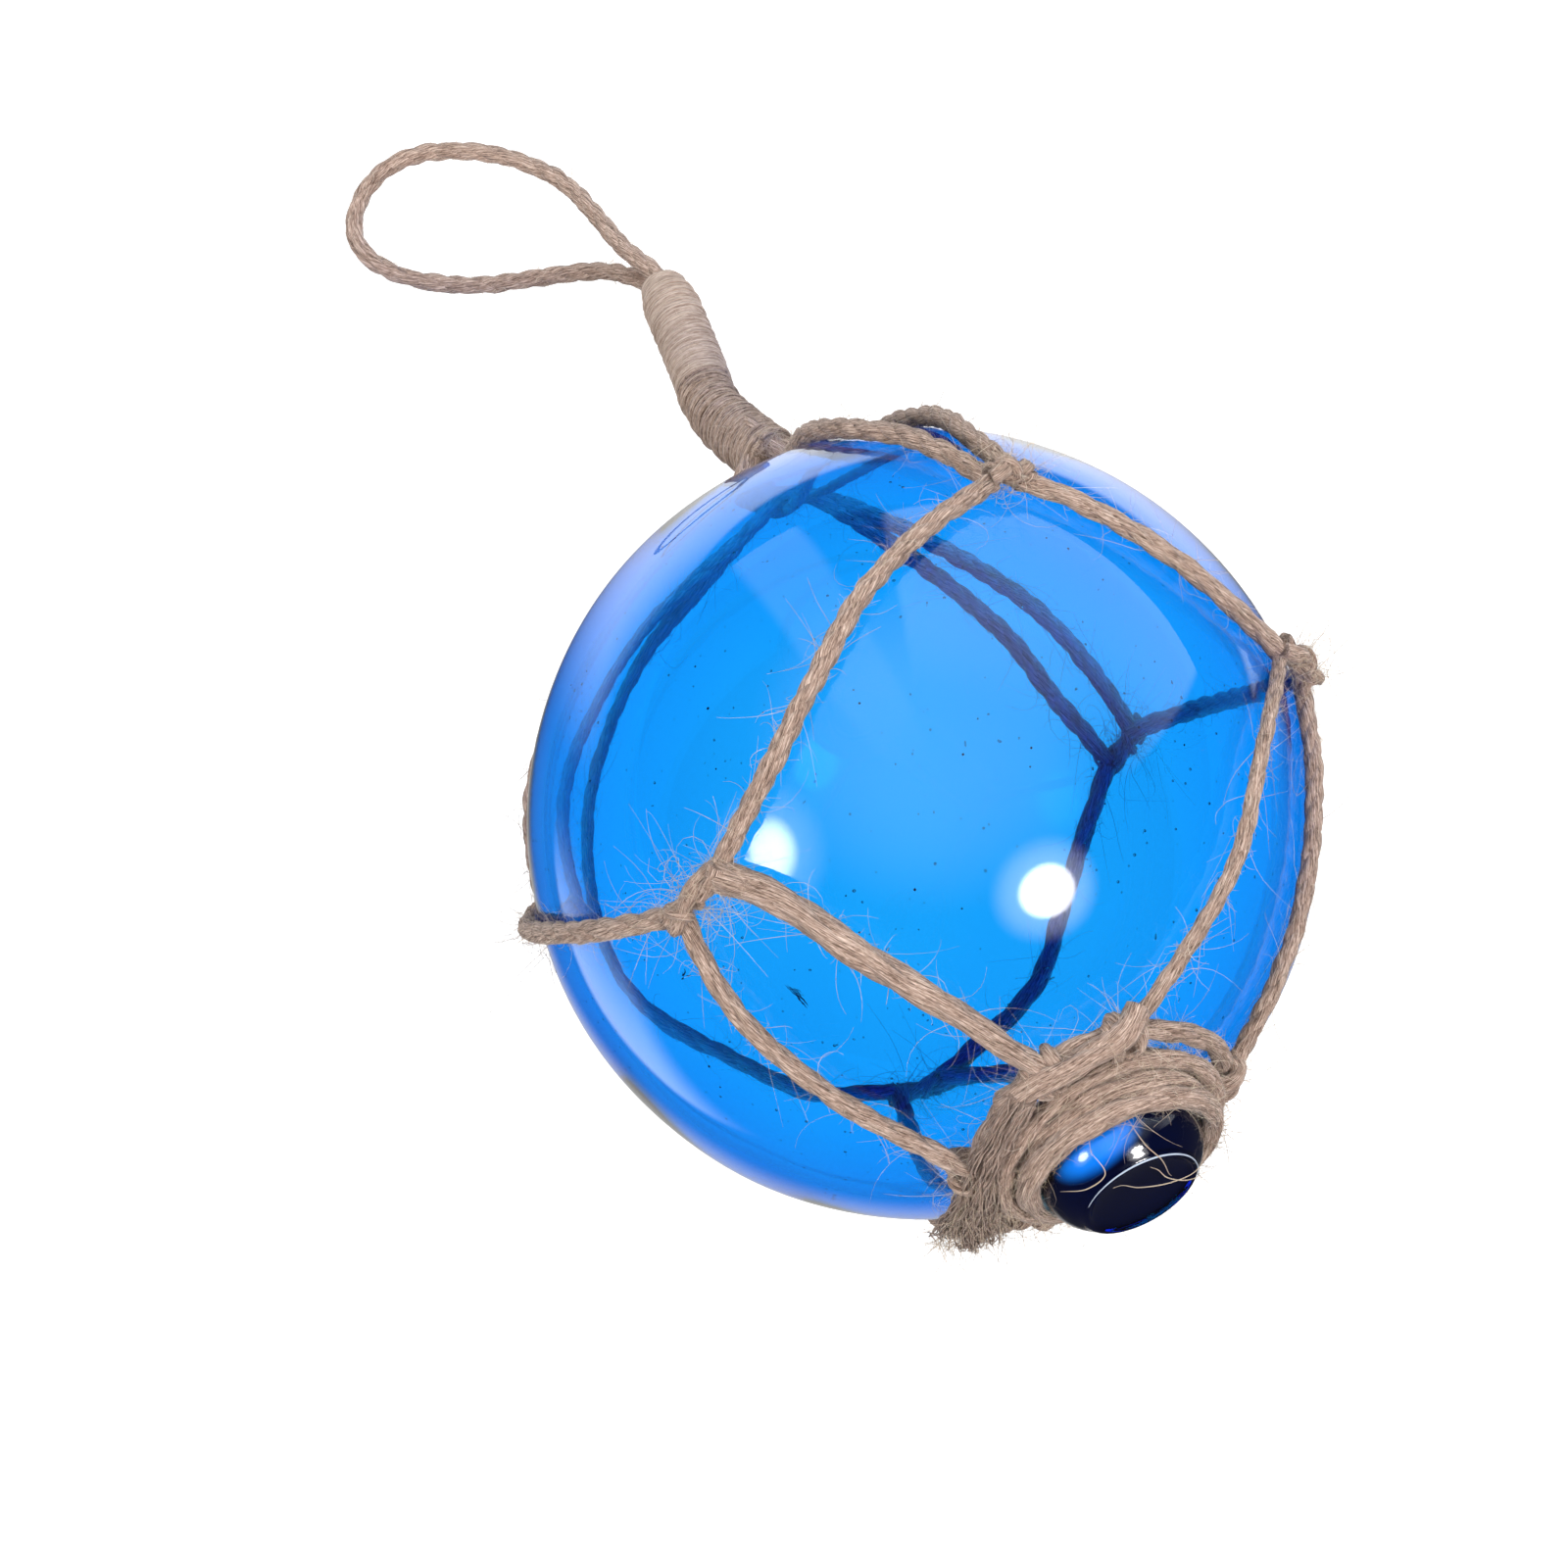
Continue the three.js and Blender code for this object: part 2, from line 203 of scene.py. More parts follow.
@dataclass
class MeshMaker:
    """Gathers swept and turned surfaces into one mesh, with the fibre's own coordinates."""

    points: list[Array] = field(default_factory=list)
    quads: list[Array] = field(default_factory=list)
    tris: list[Array] = field(default_factory=list)
    fibre: list[Array] = field(default_factory=list)
    count: int = 0

    def add(self, points: Array, quads: Array, tris: Array, fibre: Array | None = None) -> None:
        """Adds a closed surface.

        Args:
            points: its points, n by 3.
            quads: its four-cornered faces, which count its own points from nought.
            tris: its three-cornered faces.
            fibre: the fibre coordinates of its points, if it has any.
        """
        self.points.append(points)
        self.quads.append(np.asarray(quads, np.int64).reshape(-1, 4) + self.count)
        self.tris.append(np.asarray(tris, np.int64).reshape(-1, 3) + self.count)
        self.fibre.append(np.zeros_like(points) if fibre is None else fibre)
        self.count += len(points)

    def sweep(self, line: Array, across: Array, beside: Array, section: Array, fibre: Array) -> None:
        """Adds a tube: each point of the line carries its own closed section.

        Args:
            line: n points.
            across: the direction of the section's first number at each point.
            beside: the direction of its second number.
            section: n by m by 2, the section's corners.
            fibre: n by m by 3, the fibre coordinates of the corners.
        """
        n, m = section.shape[:2]
        rings = line[:, None] + section[..., :1] * across[:, None] + section[..., 1:] * beside[:, None]
        ends = np.stack([line[0], line[-1]])
        points = np.concatenate([rings.reshape(-1, 3), ends])
        i, j = np.meshgrid(np.arange(n - 1), np.arange(m), indexing="ij")
        a, b = i * m + j, i * m + (j + 1) % m
        quads = np.stack([a, b, b + m, a + m], axis=-1).reshape(-1, 4)
        k = np.arange(m)
        first = np.stack([(k + 1) % m, k, np.full(m, n * m)], axis=-1)
        last = np.stack([k, (k + 1) % m, np.full(m, n * m + 1)], axis=-1)
        last[:, :2] += (n - 1) * m
        own = np.concatenate([fibre.reshape(-1, 3), fibre[[0, -1]].mean(1)])
        self.add(points, quads, np.concatenate([first, last]), own)

    def piece(self, name: str, material: bpy.types.Material) -> bpy.types.Object:
        """Makes the object of all that was added.

        Args:
            name: the piece's name.
            material: its finish.

        Returns:
            The new object, linked to the scene.
        """
        points = np.concatenate(self.points)
        quads, tris = np.concatenate(self.quads), np.concatenate(self.tris)
        mesh = bpy.data.meshes.new(name)
        mesh.vertices.add(len(points))
        mesh.vertices.foreach_set("co", points.astype(np.float32).ravel())
        corners = np.concatenate([quads.ravel(), tris.ravel()]).astype(np.int32)
        mesh.loops.add(len(corners))
        mesh.loops.foreach_set("vertex_index", corners)
        starts = [np.arange(len(quads)) * 4, len(quads) * 4 + np.arange(len(tris)) * 3]
        starts = np.concatenate(starts).astype(np.int32)
        mesh.polygons.add(len(starts))
        mesh.polygons.foreach_set("loop_start", starts)
        mesh.polygons.foreach_set("use_smooth", np.ones(len(starts), bool))
        mesh.update(calc_edges=True)
        own = mesh.attributes.new("fibre", "FLOAT_VECTOR", "POINT")
        own.data.foreach_set("vector", np.concatenate(self.fibre).astype(np.float32).ravel())
        mesh.materials.append(material)
        made = bpy.data.objects.new(name, mesh)
        bpy.context.scene.collection.objects.link(made)
        LOG.info("%s: %d triangles", name, self.triangles())
        return made

    def triangles(self) -> int:
        """How many triangles the mesh will have."""
        return int(sum(2 * len(q) for q in self.quads) + sum(len(t) for t in self.tris))


@dataclass
class Ball:
    """Where things are on the ball: the glass sphere, its axis and its resting height."""

    radius: float = 40 * MM
    rest_spot_radius: float = 5 * MM
    axis_rise_deg: float = 18  # of the button's end over the level

    def __post_init__(self) -> None:
        """Works out the centre and the directions of the ball's own frame."""
        rise = math.radians(self.axis_rise_deg)
        self.height = math.sqrt(self.radius**2 - self.rest_spot_radius**2)
        self.centre = np.array([0, 0, self.height])
        self.to_button = np.array([0, -math.cos(rise), math.sin(rise)])
        self.to_neck = -self.to_button
        self.upper_side = np.array([0, math.sin(rise), math.cos(rise)])
        self.right_side = np.array([1.0, 0, 0])

    def over(self, place: tuple[float, float], lift: float) -> Array:
        """A point over the glass.

        Args:
            place: degrees from the neck's pole, and degrees round from the upper side towards +X.
            lift: the height above the glass.

        Returns:
            The point.
        """
        polar, around = np.radians(place)
        out = math.cos(polar) * self.to_neck
        out = out + math.sin(polar) * math.cos(around) * self.upper_side
        out = out + math.sin(polar) * math.sin(around) * self.right_side
        return self.centre + (self.radius + lift) * out

    def round_axis(self, angle: Array) -> Array:
        """The directions at angles round the button's axis, from the upper side towards +X."""
        return turned_by(angle, self.upper_side, self.right_side)

    def outward(self, points: Array) -> Array:
        """The directions away from the ball's centre at the points."""
        return unit(points - self.centre)

    def kept_off(self, points: Array, lift: float | Array) -> Array:
        """The points, moved out where they are too near to the glass.

        Args:
            points: the points, in their last axis.
            lift: the least height over the glass, one for all or one for each.

        Returns:
            The points that are clear of it.
        """
        away = points - self.centre
        distance = np.linalg.norm(away, axis=-1, keepdims=True)
        least = self.radius + np.broadcast_to(np.asarray(lift, float), distance[..., 0].shape)[..., None]
        return self.centre + away * np.maximum(1, least / distance)

    def lying(self, points: Array, lift: float) -> Array:
        """The points, off the glass and off the surface that the ball lies on.

        Args:
            points: the points, in their last axis.
            lift: the least height over both.

        Returns:
            The points that are clear of them.
        """
        held = self.kept_off(points, lift)
        held[..., 2] = np.maximum(held[..., 2], lift)
        return held


BALL = Ball()
# Diameters of the cords, and the button's sizes
NET_CORD = 2.2 * MM
LOOP_CORD = 2.1 * MM
RING_CORD = 2.5 * MM
BUTTON_RADIUS = 8.4 * MM
BUTTON_HEIGHT = 8.5 * MM
WHIPPING = 6.6 * MM
TOUCH = 0.06 * MM  # between a cord and the glass it lies on


def new_group(name: str, inputs: list[tuple], outputs: list[tuple]) -> tuple:
    """Starts a shader node group.

    Args:
        name: the group's name.
        inputs: its inputs, each a name, a socket type and a first value.
        outputs: its outputs, each a name and a socket type.

    Returns:
        The group, its input node and its output node.
    """
    group = bpy.data.node_groups.new(name, "ShaderNodeTree")
    for title, kind, value in inputs:
        socket = group.interface.new_socket(title, in_out="INPUT", socket_type=kind)
        if value is not None:
            socket.default_value = value
    for title, kind in outputs:
        group.interface.new_socket(title, in_out="OUTPUT", socket_type=kind)
    return group, group.nodes.new("NodeGroupInput"), group.nodes.new("NodeGroupOutput")


def joined_math(group: bpy.types.NodeTree, operation: str, *values: object) -> bpy.types.NodeSocket:
    """Adds one math node to a node tree.

    Args:
        group: the tree.
        operation: what the node does.
        values: its inputs, each a socket or a plain number.

    Returns:
        What it gives.
    """
    node = group.nodes.new("ShaderNodeMath")
    node.operation = operation
    for socket, value in zip(node.inputs, values):
        if isinstance(value, bpy.types.NodeSocket):
            group.links.new(value, socket)
        else:
            socket.default_value = value
    return node.outputs[0]


def product(group: bpy.types.NodeTree, *values: object) -> bpy.types.NodeSocket:
    """Multiplies values.

    Args:
        group: the node tree.
        values: the values, each a socket or a plain number.

    Returns:
        Their product.
    """
    total = values[0]
    for value in values[1:]:
        total = joined_math(group, "MULTIPLY", total, value)
    return total


def joined_dot(group: bpy.types.NodeTree, first: object, second: object) -> bpy.types.NodeSocket:
    """The dot product of two vectors.

    Args:
        group: the node tree.
        first: a vector socket.
        second: another, or a plain vector.

    Returns:
        The product.
    """
    node = group.nodes.new("ShaderNodeVectorMath")
    node.operation = "DOT_PRODUCT"
    group.links.new(first, node.inputs[0])
    if isinstance(second, bpy.types.NodeSocket):
        group.links.new(second, node.inputs[1])
    else:
        node.inputs[1].default_value = second
    return node.outputs["Value"]


def place_along(tree: bpy.types.NodeTree, way: Array) -> bpy.types.NodeSocket:
    """How far along a direction a spot of the surface is, in metres."""
    place = tree.nodes.new("ShaderNodeTexCoord")
    return joined_dot(tree, place.outputs["Object"], way)


def mapped(group: bpy.types.NodeTree, value: bpy.types.NodeSocket, start: tuple, end: tuple = (0, 1),
           smooth: bool = False) -> bpy.types.NodeSocket:
    """A value brought from one range to another.

    Args:
        group: the node tree.
        value: the value.
        start: the range that it comes from, as sockets or plain numbers.
        end: the range that it goes to.
        smooth: whether it starts and ends gently.

    Returns:
        The value in its new range, and no further.
    """
    node = group.nodes.new("ShaderNodeMapRange")
    if smooth:
        node.interpolation_type = "SMOOTHSTEP"
    group.links.new(value, node.inputs["Value"])
    for title, limit in zip(("From Min", "From Max"), start):
        if isinstance(limit, bpy.types.NodeSocket):
            group.links.new(limit, node.inputs[title])
        else:
            node.inputs[title].default_value = limit
    node.inputs["To Min"].default_value, node.inputs["To Max"].default_value = end
    return node.outputs[0]


def mixed(group: bpy.types.NodeTree, kind: str, factor: object, first: object,
          second: object) -> bpy.types.NodeSocket:
    """A mix of two numbers or two colours.

    Args:
        group: the node tree.
        kind: FLOAT for numbers or RGBA for colours.
        factor: how much of the second there is.
        first: the first, as a socket or a plain value.
        second: the second.

    Returns:
        The mix.
    """
    node = group.nodes.new("ShaderNodeMix")
    node.data_type = kind
    for title, value in (("Factor", factor), ("A", first), ("B", second)):
        if isinstance(value, bpy.types.NodeSocket):
            group.links.new(value, node.inputs[title])
        else:
            node.inputs[title].default_value = value
    return node.outputs["Result"]


def fibre_group() -> bpy.types.NodeTree:
    """The colour and relief of jute: fine streaks along the fibre, broken by paler and darker runs.

    Returns:
        The group.
    """
    group, given, out = new_group(
        "jute_fibres",
        [
            ("Dark", "NodeSocketColor", (0.15, 0.08, 0.045, 1)),
            ("Middle", "NodeSocketColor", (0.42, 0.27, 0.16, 1)),
            ("Pale", "NodeSocketColor", (0.72, 0.56, 0.4, 1)),
            ("Streaks", "NodeSocketFloat", 5.0),
            ("Run", "NodeSocketFloat", 0.35),
        ],
        [("Color", "NodeSocketColor"), ("Height", "NodeSocketFloat"), ("Roughness", "NodeSocketFloat")],
    )
    nodes, links = group.nodes, group.links
    own = nodes.new("ShaderNodeAttribute")
    own.attribute_name = "fibre"
    apart = nodes.new("ShaderNodeSeparateXYZ")
    links.new(own.outputs["Vector"], apart.inputs[0])
    streaks = []
    for scale, stretch in ((1.0, 1.0), (2.6, 1.7)):
        place = nodes.new("ShaderNodeCombineXYZ")
        links.new(product(group, apart.outputs["X"], given.outputs["Run"], stretch), place.inputs["X"])
        for axis in ("Y", "Z"):
            links.new(product(group, apart.outputs[axis], given.outputs["Streaks"]), place.inputs[axis])
        noise = nodes.new("ShaderNodeTexNoise")
        noise.inputs["Scale"].default_value = scale
        noise.inputs["Detail"].default_value = 3
        noise.inputs["Roughness"].default_value = 0.6
        links.new(place.outputs[0], noise.inputs["Vector"])
        streaks.append(noise.outputs["Fac"])
    height = mixed(group, "FLOAT", 0.5, *streaks)
    low, high = mapped(group, height, (0.41, 0.51)), mapped(group, height, (0.52, 0.62))
    shade = mixed(group, "RGBA", low, given.outputs["Dark"], given.outputs["Middle"])
    tone = mixed(group, "RGBA", high, shade, given.outputs["Pale"])
    links.new(tone, out.inputs["Color"])
    links.new(height, out.inputs["Height"])
    links.new(mapped(group, height, (0, 1), (0.95, 0.7)), out.inputs["Roughness"])
    return group


def soft_box_group() -> bpy.types.NodeTree:
    """A mask for a soft-edged rectangle of light that fades towards its foot, seen in a direction.

    Returns:
        The group.
    """
    vectors = [(name, "NodeSocketVector", None) for name in ("Way", "Toward", "Across", "Rise")]
    sizes = [(name, "NodeSocketFloat", 0.5) for name in ("Half width", "Half height", "Edge", "Fade")]
    group, given, out = new_group("soft_box", vectors + sizes, [("Mask", "NodeSocketFloat")])
    sides = given.outputs
    ahead = joined_dot(group, sides["Way"], sides["Toward"])
    near = joined_math(group, "MAXIMUM", ahead, 0.001)
    masks = [joined_math(group, "GREATER_THAN", ahead, 0.01)]
    for axis, size in (("Across", "Half width"), ("Rise", "Half height")):
        aside = joined_math(group, "DIVIDE", joined_dot(group, sides["Way"], sides[axis]), near)
        low = joined_math(group, "SUBTRACT", sides[size], sides["Edge"])
        high = joined_math(group, "ADD", sides[size], sides["Edge"])
        masks.append(mapped(group, joined_math(group, "ABSOLUTE", aside), (low, high), (1, 0), smooth=True))
    down = joined_math(group, "MULTIPLY", aside, -1)
    start = joined_math(group, "SUBTRACT", sides["Half height"], sides["Fade"])
    masks.append(mapped(group, down, (start, sides["Half height"]), (1, 0), smooth=True))
    group.links.new(product(group, *masks), out.inputs["Mask"])
    return group


def round_lamp_group() -> bpy.types.NodeTree:
    """A mask for a round lamp that fades from an inner to an outer angle, given by their cosines.

    Returns:
        The group.
    """
    inputs = [
        ("Way", "NodeSocketVector", None), ("Toward", "NodeSocketVector", None),
        ("Inner", "NodeSocketFloat", 0.99), ("Outer", "NodeSocketFloat", 0.97),
    ]
    group, given, out = new_group("round_lamp", inputs, [("Mask", "NodeSocketFloat")])
    ahead = joined_dot(group, given.outputs["Way"], given.outputs["Toward"])
    mask = mapped(group, ahead, (given.outputs["Outer"], given.outputs["Inner"]), smooth=True)
    group.links.new(mask, out.inputs["Mask"])
    return group


@dataclass(frozen=True)
class JuteFinish:
    """Dry jute: streaked fibres, matt, with a little sheen."""

    name: str
    dark: tuple[float, float, float]
    middle: tuple[float, float, float]
    pale: tuple[float, float, float]
    streaks: float = 5.0
    run: float = 0.35
    relief: float = 0.22 * MM

    def material(self, fibres: bpy.types.NodeTree) -> bpy.types.Material:
        """The finish as a material.

        Args:
            fibres: the shared group that gives the streaks.

        Returns:
            The material.
        """
        made = bpy.data.materials.new(self.name)
        made.use_nodes = True
        nodes, links = made.node_tree.nodes, made.node_tree.links
        shader = nodes["Principled BSDF"]
        group = nodes.new("ShaderNodeGroup")
        group.node_tree = fibres
        for title, tone in (("Dark", self.dark), ("Middle", self.middle), ("Pale", self.pale)):
            group.inputs[title].default_value = (*tone, 1)
        group.inputs["Streaks"].default_value = self.streaks
        group.inputs["Run"].default_value = self.run
        bump = nodes.new("ShaderNodeBump")
        bump.inputs["Strength"].default_value = 0.8
        bump.inputs["Distance"].default_value = self.relief
        links.new(group.outputs["Color"], shader.inputs["Base Color"])
        links.new(group.outputs["Roughness"], shader.inputs["Roughness"])
        links.new(group.outputs["Height"], bump.inputs["Height"])
        links.new(bump.outputs["Normal"], shader.inputs["Normal"])
        shader.inputs["Specular IOR Level"].default_value = 0.25
        shader.inputs["Sheen Weight"].default_value = 0.25
        shader.inputs["Sheen Roughness"].default_value = 0.5
        return made


@dataclass(frozen=True)
class GlassFinish:
    """Clear azure glass whose colour deepens with its thickness."""

    name: str = "azure_glass"
    tone: tuple[float, float, float] = (0.02, 0.78, 0.968)
    depth: float = 1250.0
    ior: float = 1.5

    def material(self) -> bpy.types.Material:
        """The finish as a material: glass to the eye, clear to the lamps.

        Returns:
            The material.
        """
        made = bpy.data.materials.new(self.name)
        made.use_nodes = True
        nodes, links = made.node_tree.nodes, made.node_tree.links
        shader = nodes["Principled BSDF"]
        shader.inputs["Base Color"].default_value = (0.92, 0.98, 1, 1)
        shader.inputs["Roughness"].default_value = 0
        shader.inputs["IOR"].default_value = self.ior
        shader.inputs["Transmission Weight"].default_value = 1
        out = nodes["Material Output"]
        clear = nodes.new("ShaderNodeBsdfTransparent")
        path = nodes.new("ShaderNodeLightPath")
        mix = nodes.new("ShaderNodeMixShader")
        links.new(path.outputs["Is Shadow Ray"], mix.inputs[0])
        links.new(shader.outputs[0], mix.inputs[1])
        links.new(clear.outputs[0], mix.inputs[2])
        links.new(mix.outputs[0], out.inputs["Surface"])
        absorb = nodes.new("ShaderNodeVolumeAbsorption")
        absorb.inputs["Color"].default_value = (*self.tone, 1)
        absorb.inputs["Density"].default_value = self.depth
        links.new(absorb.outputs[0], out.inputs["Volume"])
        return made


@dataclass(frozen=True)
class OpaqueGlassFinish:
    """Glass that lets no light through, because it is thick or sooty; or pale, as a painted highlight."""

    name: str
    tone: tuple[float, float, float]
    roughness: float = 0.6
    specular: float = 0.0

    def material(self) -> bpy.types.Material:
        """The finish as a material.

        Returns:
            The material.
        """
        made = bpy.data.materials.new(self.name)
        made.use_nodes = True
        shader = made.node_tree.nodes["Principled BSDF"]
        shader.inputs["Base Color"].default_value = (*self.tone, 1)
        shader.inputs["Roughness"].default_value = self.roughness
        shader.inputs["Specular IOR Level"].default_value = self.specular
        return made


@dataclass(frozen=True)
class DeepGlassFinish(OpaqueGlassFinish):
    """The button's dark middle, with painted light: azure painted along the side where light would come
    through the thick glass.
    """

    # painted light: the azure stands for light coming through the button's side
    azure: tuple[float, float, float] = (0.02, 0.24, 0.8)
    lean_deg: float = -22  # of the side with the painted light, from the upper side towards +X
    painted_light_from: float = 5.8 * MM  # from the button's axis
    painted_light_full: float = 7.4 * MM

    def material(self) -> bpy.types.Material:
        """The finish as a material.

        Returns:
            The material.
        """
        made = super().material()
        tree = made.node_tree
        lean = math.radians(self.lean_deg)
        toward = math.cos(lean) * BALL.upper_side + math.sin(lean) * BALL.right_side
        middle = float(BALL.centre @ toward)
        span = (middle + self.painted_light_from, middle + self.painted_light_full)
        # painted light: azure blended in along one side of the heart, by position
        mask = mapped(tree, place_along(tree, toward), span, smooth=True)
        shade = mixed(tree, "RGBA", mask, (*self.tone, 1), (*self.azure, 1))
        tree.links.new(shade, tree.nodes["Principled BSDF"].inputs["Base Color"])
        return made


CORD_JUTE = JuteFinish("jute_cord", (0.1, 0.055, 0.036), (0.43, 0.285, 0.218), (0.8, 0.62, 0.515), 8)
TWINE_JUTE = JuteFinish(
    "jute_twine", (0.27, 0.18, 0.132), (0.47, 0.345, 0.275), (0.68, 0.535, 0.45), 3.5, 0.3, 0.06 * MM)
ROUGH_JUTE = JuteFinish(
    "jute_twine_root", (0.09, 0.051, 0.035), (0.41, 0.278, 0.208), (0.68, 0.51, 0.415), 4.5, 0.5)
LOOSE_JUTE = JuteFinish(
    "loose_fibre", (0.4, 0.28, 0.19), (0.62, 0.48, 0.35), (0.85, 0.74, 0.6), 1, 0.1, 0.01 * MM)
SOOTY_GLASS = OpaqueGlassFinish("dark_glass", (0.002, 0.005, 0.035))
DEEP_GLASS = DeepGlassFinish("deep_glass_painted_light", (0.001, 0.002, 0.016))
# painted highlight: pale glass for the line along the button's rim, standing for a reflection
RIM_HIGHLIGHT_GLASS = OpaqueGlassFinish("painted_highlight_glass", (0.5, 0.56, 0.68), 0.3, 0.5)


@dataclass(frozen=True)
class SoftBox:
    """A soft box, placed by where its reflection falls in the picture."""

    middle_px: tuple[float, float]
    side_px: tuple[tuple[float, float], tuple[float, float]]  # two places on one upright side
    top_px: tuple[float, float]
    edge: float  # half the width of its soft edge, as a slope
    fade: float  # how far up from its foot it fades, as a slope
    strength: float
    tone: tuple[float, float, float]


@dataclass(frozen=True)
class RoundLamp:
    """A round lamp, placed by its reflection, that fades from its inner to its outer angle."""

    at_px: tuple[float, float]
    inner_deg: float
    outer_deg: float
    strength: float
    tone: tuple[float, float, float] = (1, 0.98, 0.97)


@dataclass(frozen=True)
class Sheet:
    """A bright sheet on the floor, seen in the glass's mirror alone.

    Each edge has its direction, as shares of the camera's level ahead and of its right, and the
    two distances along it where the sheet starts to show and shows in full.
    """

    strength: float
    edges: tuple[tuple[tuple[float, float], float, float], ...]


@dataclass
class Studio:
    """The pale floor, the soft light and the camera of the picture."""

    distance: float = 480 * MM
    elevation_deg: float = 73
    azimuth_deg: float = -26
    picture_side_px: int = 1600
    ball_px: tuple[float, float] = (941, 840)
    ball_radius_px: float = 404
    sensor_mm: float = 36.0
    room_tone: tuple[float, float, float] = (0.06, 0.065, 0.075)
    seen_through: float = 0.15  # how much of the lamps shows through the glass
    lit_behind: float = 2.2  # how much of them falls on what lies behind it
    floor_half: float = 3.0
    floor_light: float = 1.33  # to the eye
    floor_glow: float = 0.6  # on what lies on it
    floor_mirror: float = 0.07  # in the glass's mirror, away from the sheets
    sheets: tuple[Sheet, ...] = (
        Sheet(1.6, (((1, 0), 0.03, 0.09), ((1, 0.5), 0.165, 0.14), ((0, 1), -0.25, -0.08))),
        Sheet(1.9, (((1, 1.47), -0.128, -0.138), ((0, 1), -0.15, -0.07), ((1, 0), -0.075, -0.05),
                    ((1, 0), 0.02, -0.02))),
    )
    round_sheet: float = 0.5  # the strength of a round sheet under the ball
    round_sheet_from: float = 60 * MM
    round_sheet_full: float = 44 * MM
    boxes: tuple[SoftBox, ...] = (
        SoftBox((850, 650), ((742, 570), (808, 655)), (785, 540), 0.03, 1.5, 1.0, (0.85, 0.95, 1)),
        SoftBox((1075, 628), ((897, 493), (929, 680)), (1128, 552), 0.03, 0.9, 1.6, (0.92, 0.95, 1)),
    )
    round_lamps: tuple[RoundLamp, ...] = (
        RoundLamp((1067, 908), 5.5, 8.5, 32),
        RoundLamp((1067, 908), 6, 16, 5),
        RoundLamp((785, 868), 1, 10, 22),
        RoundLamp((785, 868), 3, 19, 3),
        RoundLamp((950, 745), 8, 54, 1.5, (0.85, 0.95, 1)),
    )

    def aim(self) -> tuple[Array, Array, Array]:
        """Works out how the camera is turned.

        Returns:
            The camera's directions: ahead, to the right and up.
        """
        tilt, turn = math.radians(self.elevation_deg), math.radians(self.azimuth_deg)
        level = np.array([-math.sin(turn), math.cos(turn), 0])
        ahead = level * math.cos(tilt) - np.array([0, 0, math.sin(tilt)])
        right = np.array([math.cos(turn), math.sin(turn), 0])
        return ahead, right, np.cross(right, ahead)

    def focal_px(self) -> float:
        """The focal length in pixels, from the ball's radius in the picture."""
        return self.ball_radius_px * math.sqrt(self.distance**2 - BALL.radius**2) / BALL.radius

    def eye(self) -> Array:
        """Works out where the camera is, so that the ball falls on its pixel.

        Returns:
            The camera's place.
        """
        ahead, right, up = self.aim()
        half = self.picture_side_px / 2
        to_ball = ahead * self.focal_px() + right * (self.ball_px[0] - half) - up * (self.ball_px[1] - half)
        return BALL.centre - unit(to_ball) * self.distance

    def camera(self) -> bpy.types.Object:
        """Makes the camera and sets it as the scene's.

        Returns:
            The camera.
        """
        ahead, right, up = self.aim()
        data = bpy.data.cameras.new("camera")
        data.sensor_width = self.sensor_mm
        data.lens = self.focal_px() / self.picture_side_px * self.sensor_mm
        data.clip_start = 0.01
        made = bpy.data.objects.new("camera", data)
        turn = np.eye(4)
        turn[:3, 0], turn[:3, 1], turn[:3, 2], turn[:3, 3] = right, up, -ahead, self.eye()
        made.matrix_world = Matrix(turn.tolist())
        bpy.context.scene.collection.objects.link(made)
        bpy.context.scene.camera = made
        return made

    def seen_on_ball(self, pixel: tuple[float, float]) -> tuple[Array, Array]:
        """Where a pixel's ray meets the glass.

        Args:
            pixel: a pixel of the picture, on the ball.

        Returns:
            The point on the glass and the ray's direction.
        """
        ahead, right, up = self.aim()
        half = self.picture_side_px / 2
        ray = unit(ahead * self.focal_px() + right * (pixel[0] - half) - up * (pixel[1] - half))
        eye = self.eye() - BALL.centre
        middle = eye @ ray
        hit = eye + ray * (-middle - math.sqrt(middle**2 - eye @ eye + BALL.radius**2))
        return BALL.centre + hit, ray

    def mirrored(self, pixel: tuple[float, float]) -> Array:
        """Follows a pixel's ray to the ball and away from it.

        Args:
            pixel: a pixel of the picture, on the ball.

        Returns:
            The direction of the light that the ball mirrors there.
        """
        spot, ray = self.seen_on_ball(pixel)
        normal = BALL.outward(spot)
        return ray - 2 * (normal @ ray) * normal

    def box_values(self, box: SoftBox) -> dict[str, object]:
        """Works out what a soft box's mask is given.

        Args:
            box: the soft box.

        Returns:
            The values of the mask's inputs.
        """
        middle, side, other, top = (self.mirrored(px) for px in (box.middle_px, *box.side_px, box.top_px))
        across = np.cross(side, other)
        across = unit(across - (across @ middle) * middle)
        across = across * np.sign(across @ side)
        rise = np.cross(middle, across)
        rise = rise * np.sign(rise @ top)
        return {
            "Toward": middle, "Across": across, "Rise": rise,
            "Half width": (side @ across) / (side @ middle),
            "Half height": (top @ rise) / (top @ middle), "Edge": box.edge, "Fade": box.fade,
        }

    def lamp_values(self, lamp: RoundLamp) -> dict[str, object]:
        """The values of the inputs of a round lamp's mask."""
        inner, outer = math.radians(lamp.inner_deg), math.radians(lamp.outer_deg)
        return {"Toward": self.mirrored(lamp.at_px), "Inner": math.cos(inner), "Outer": math.cos(outer)}

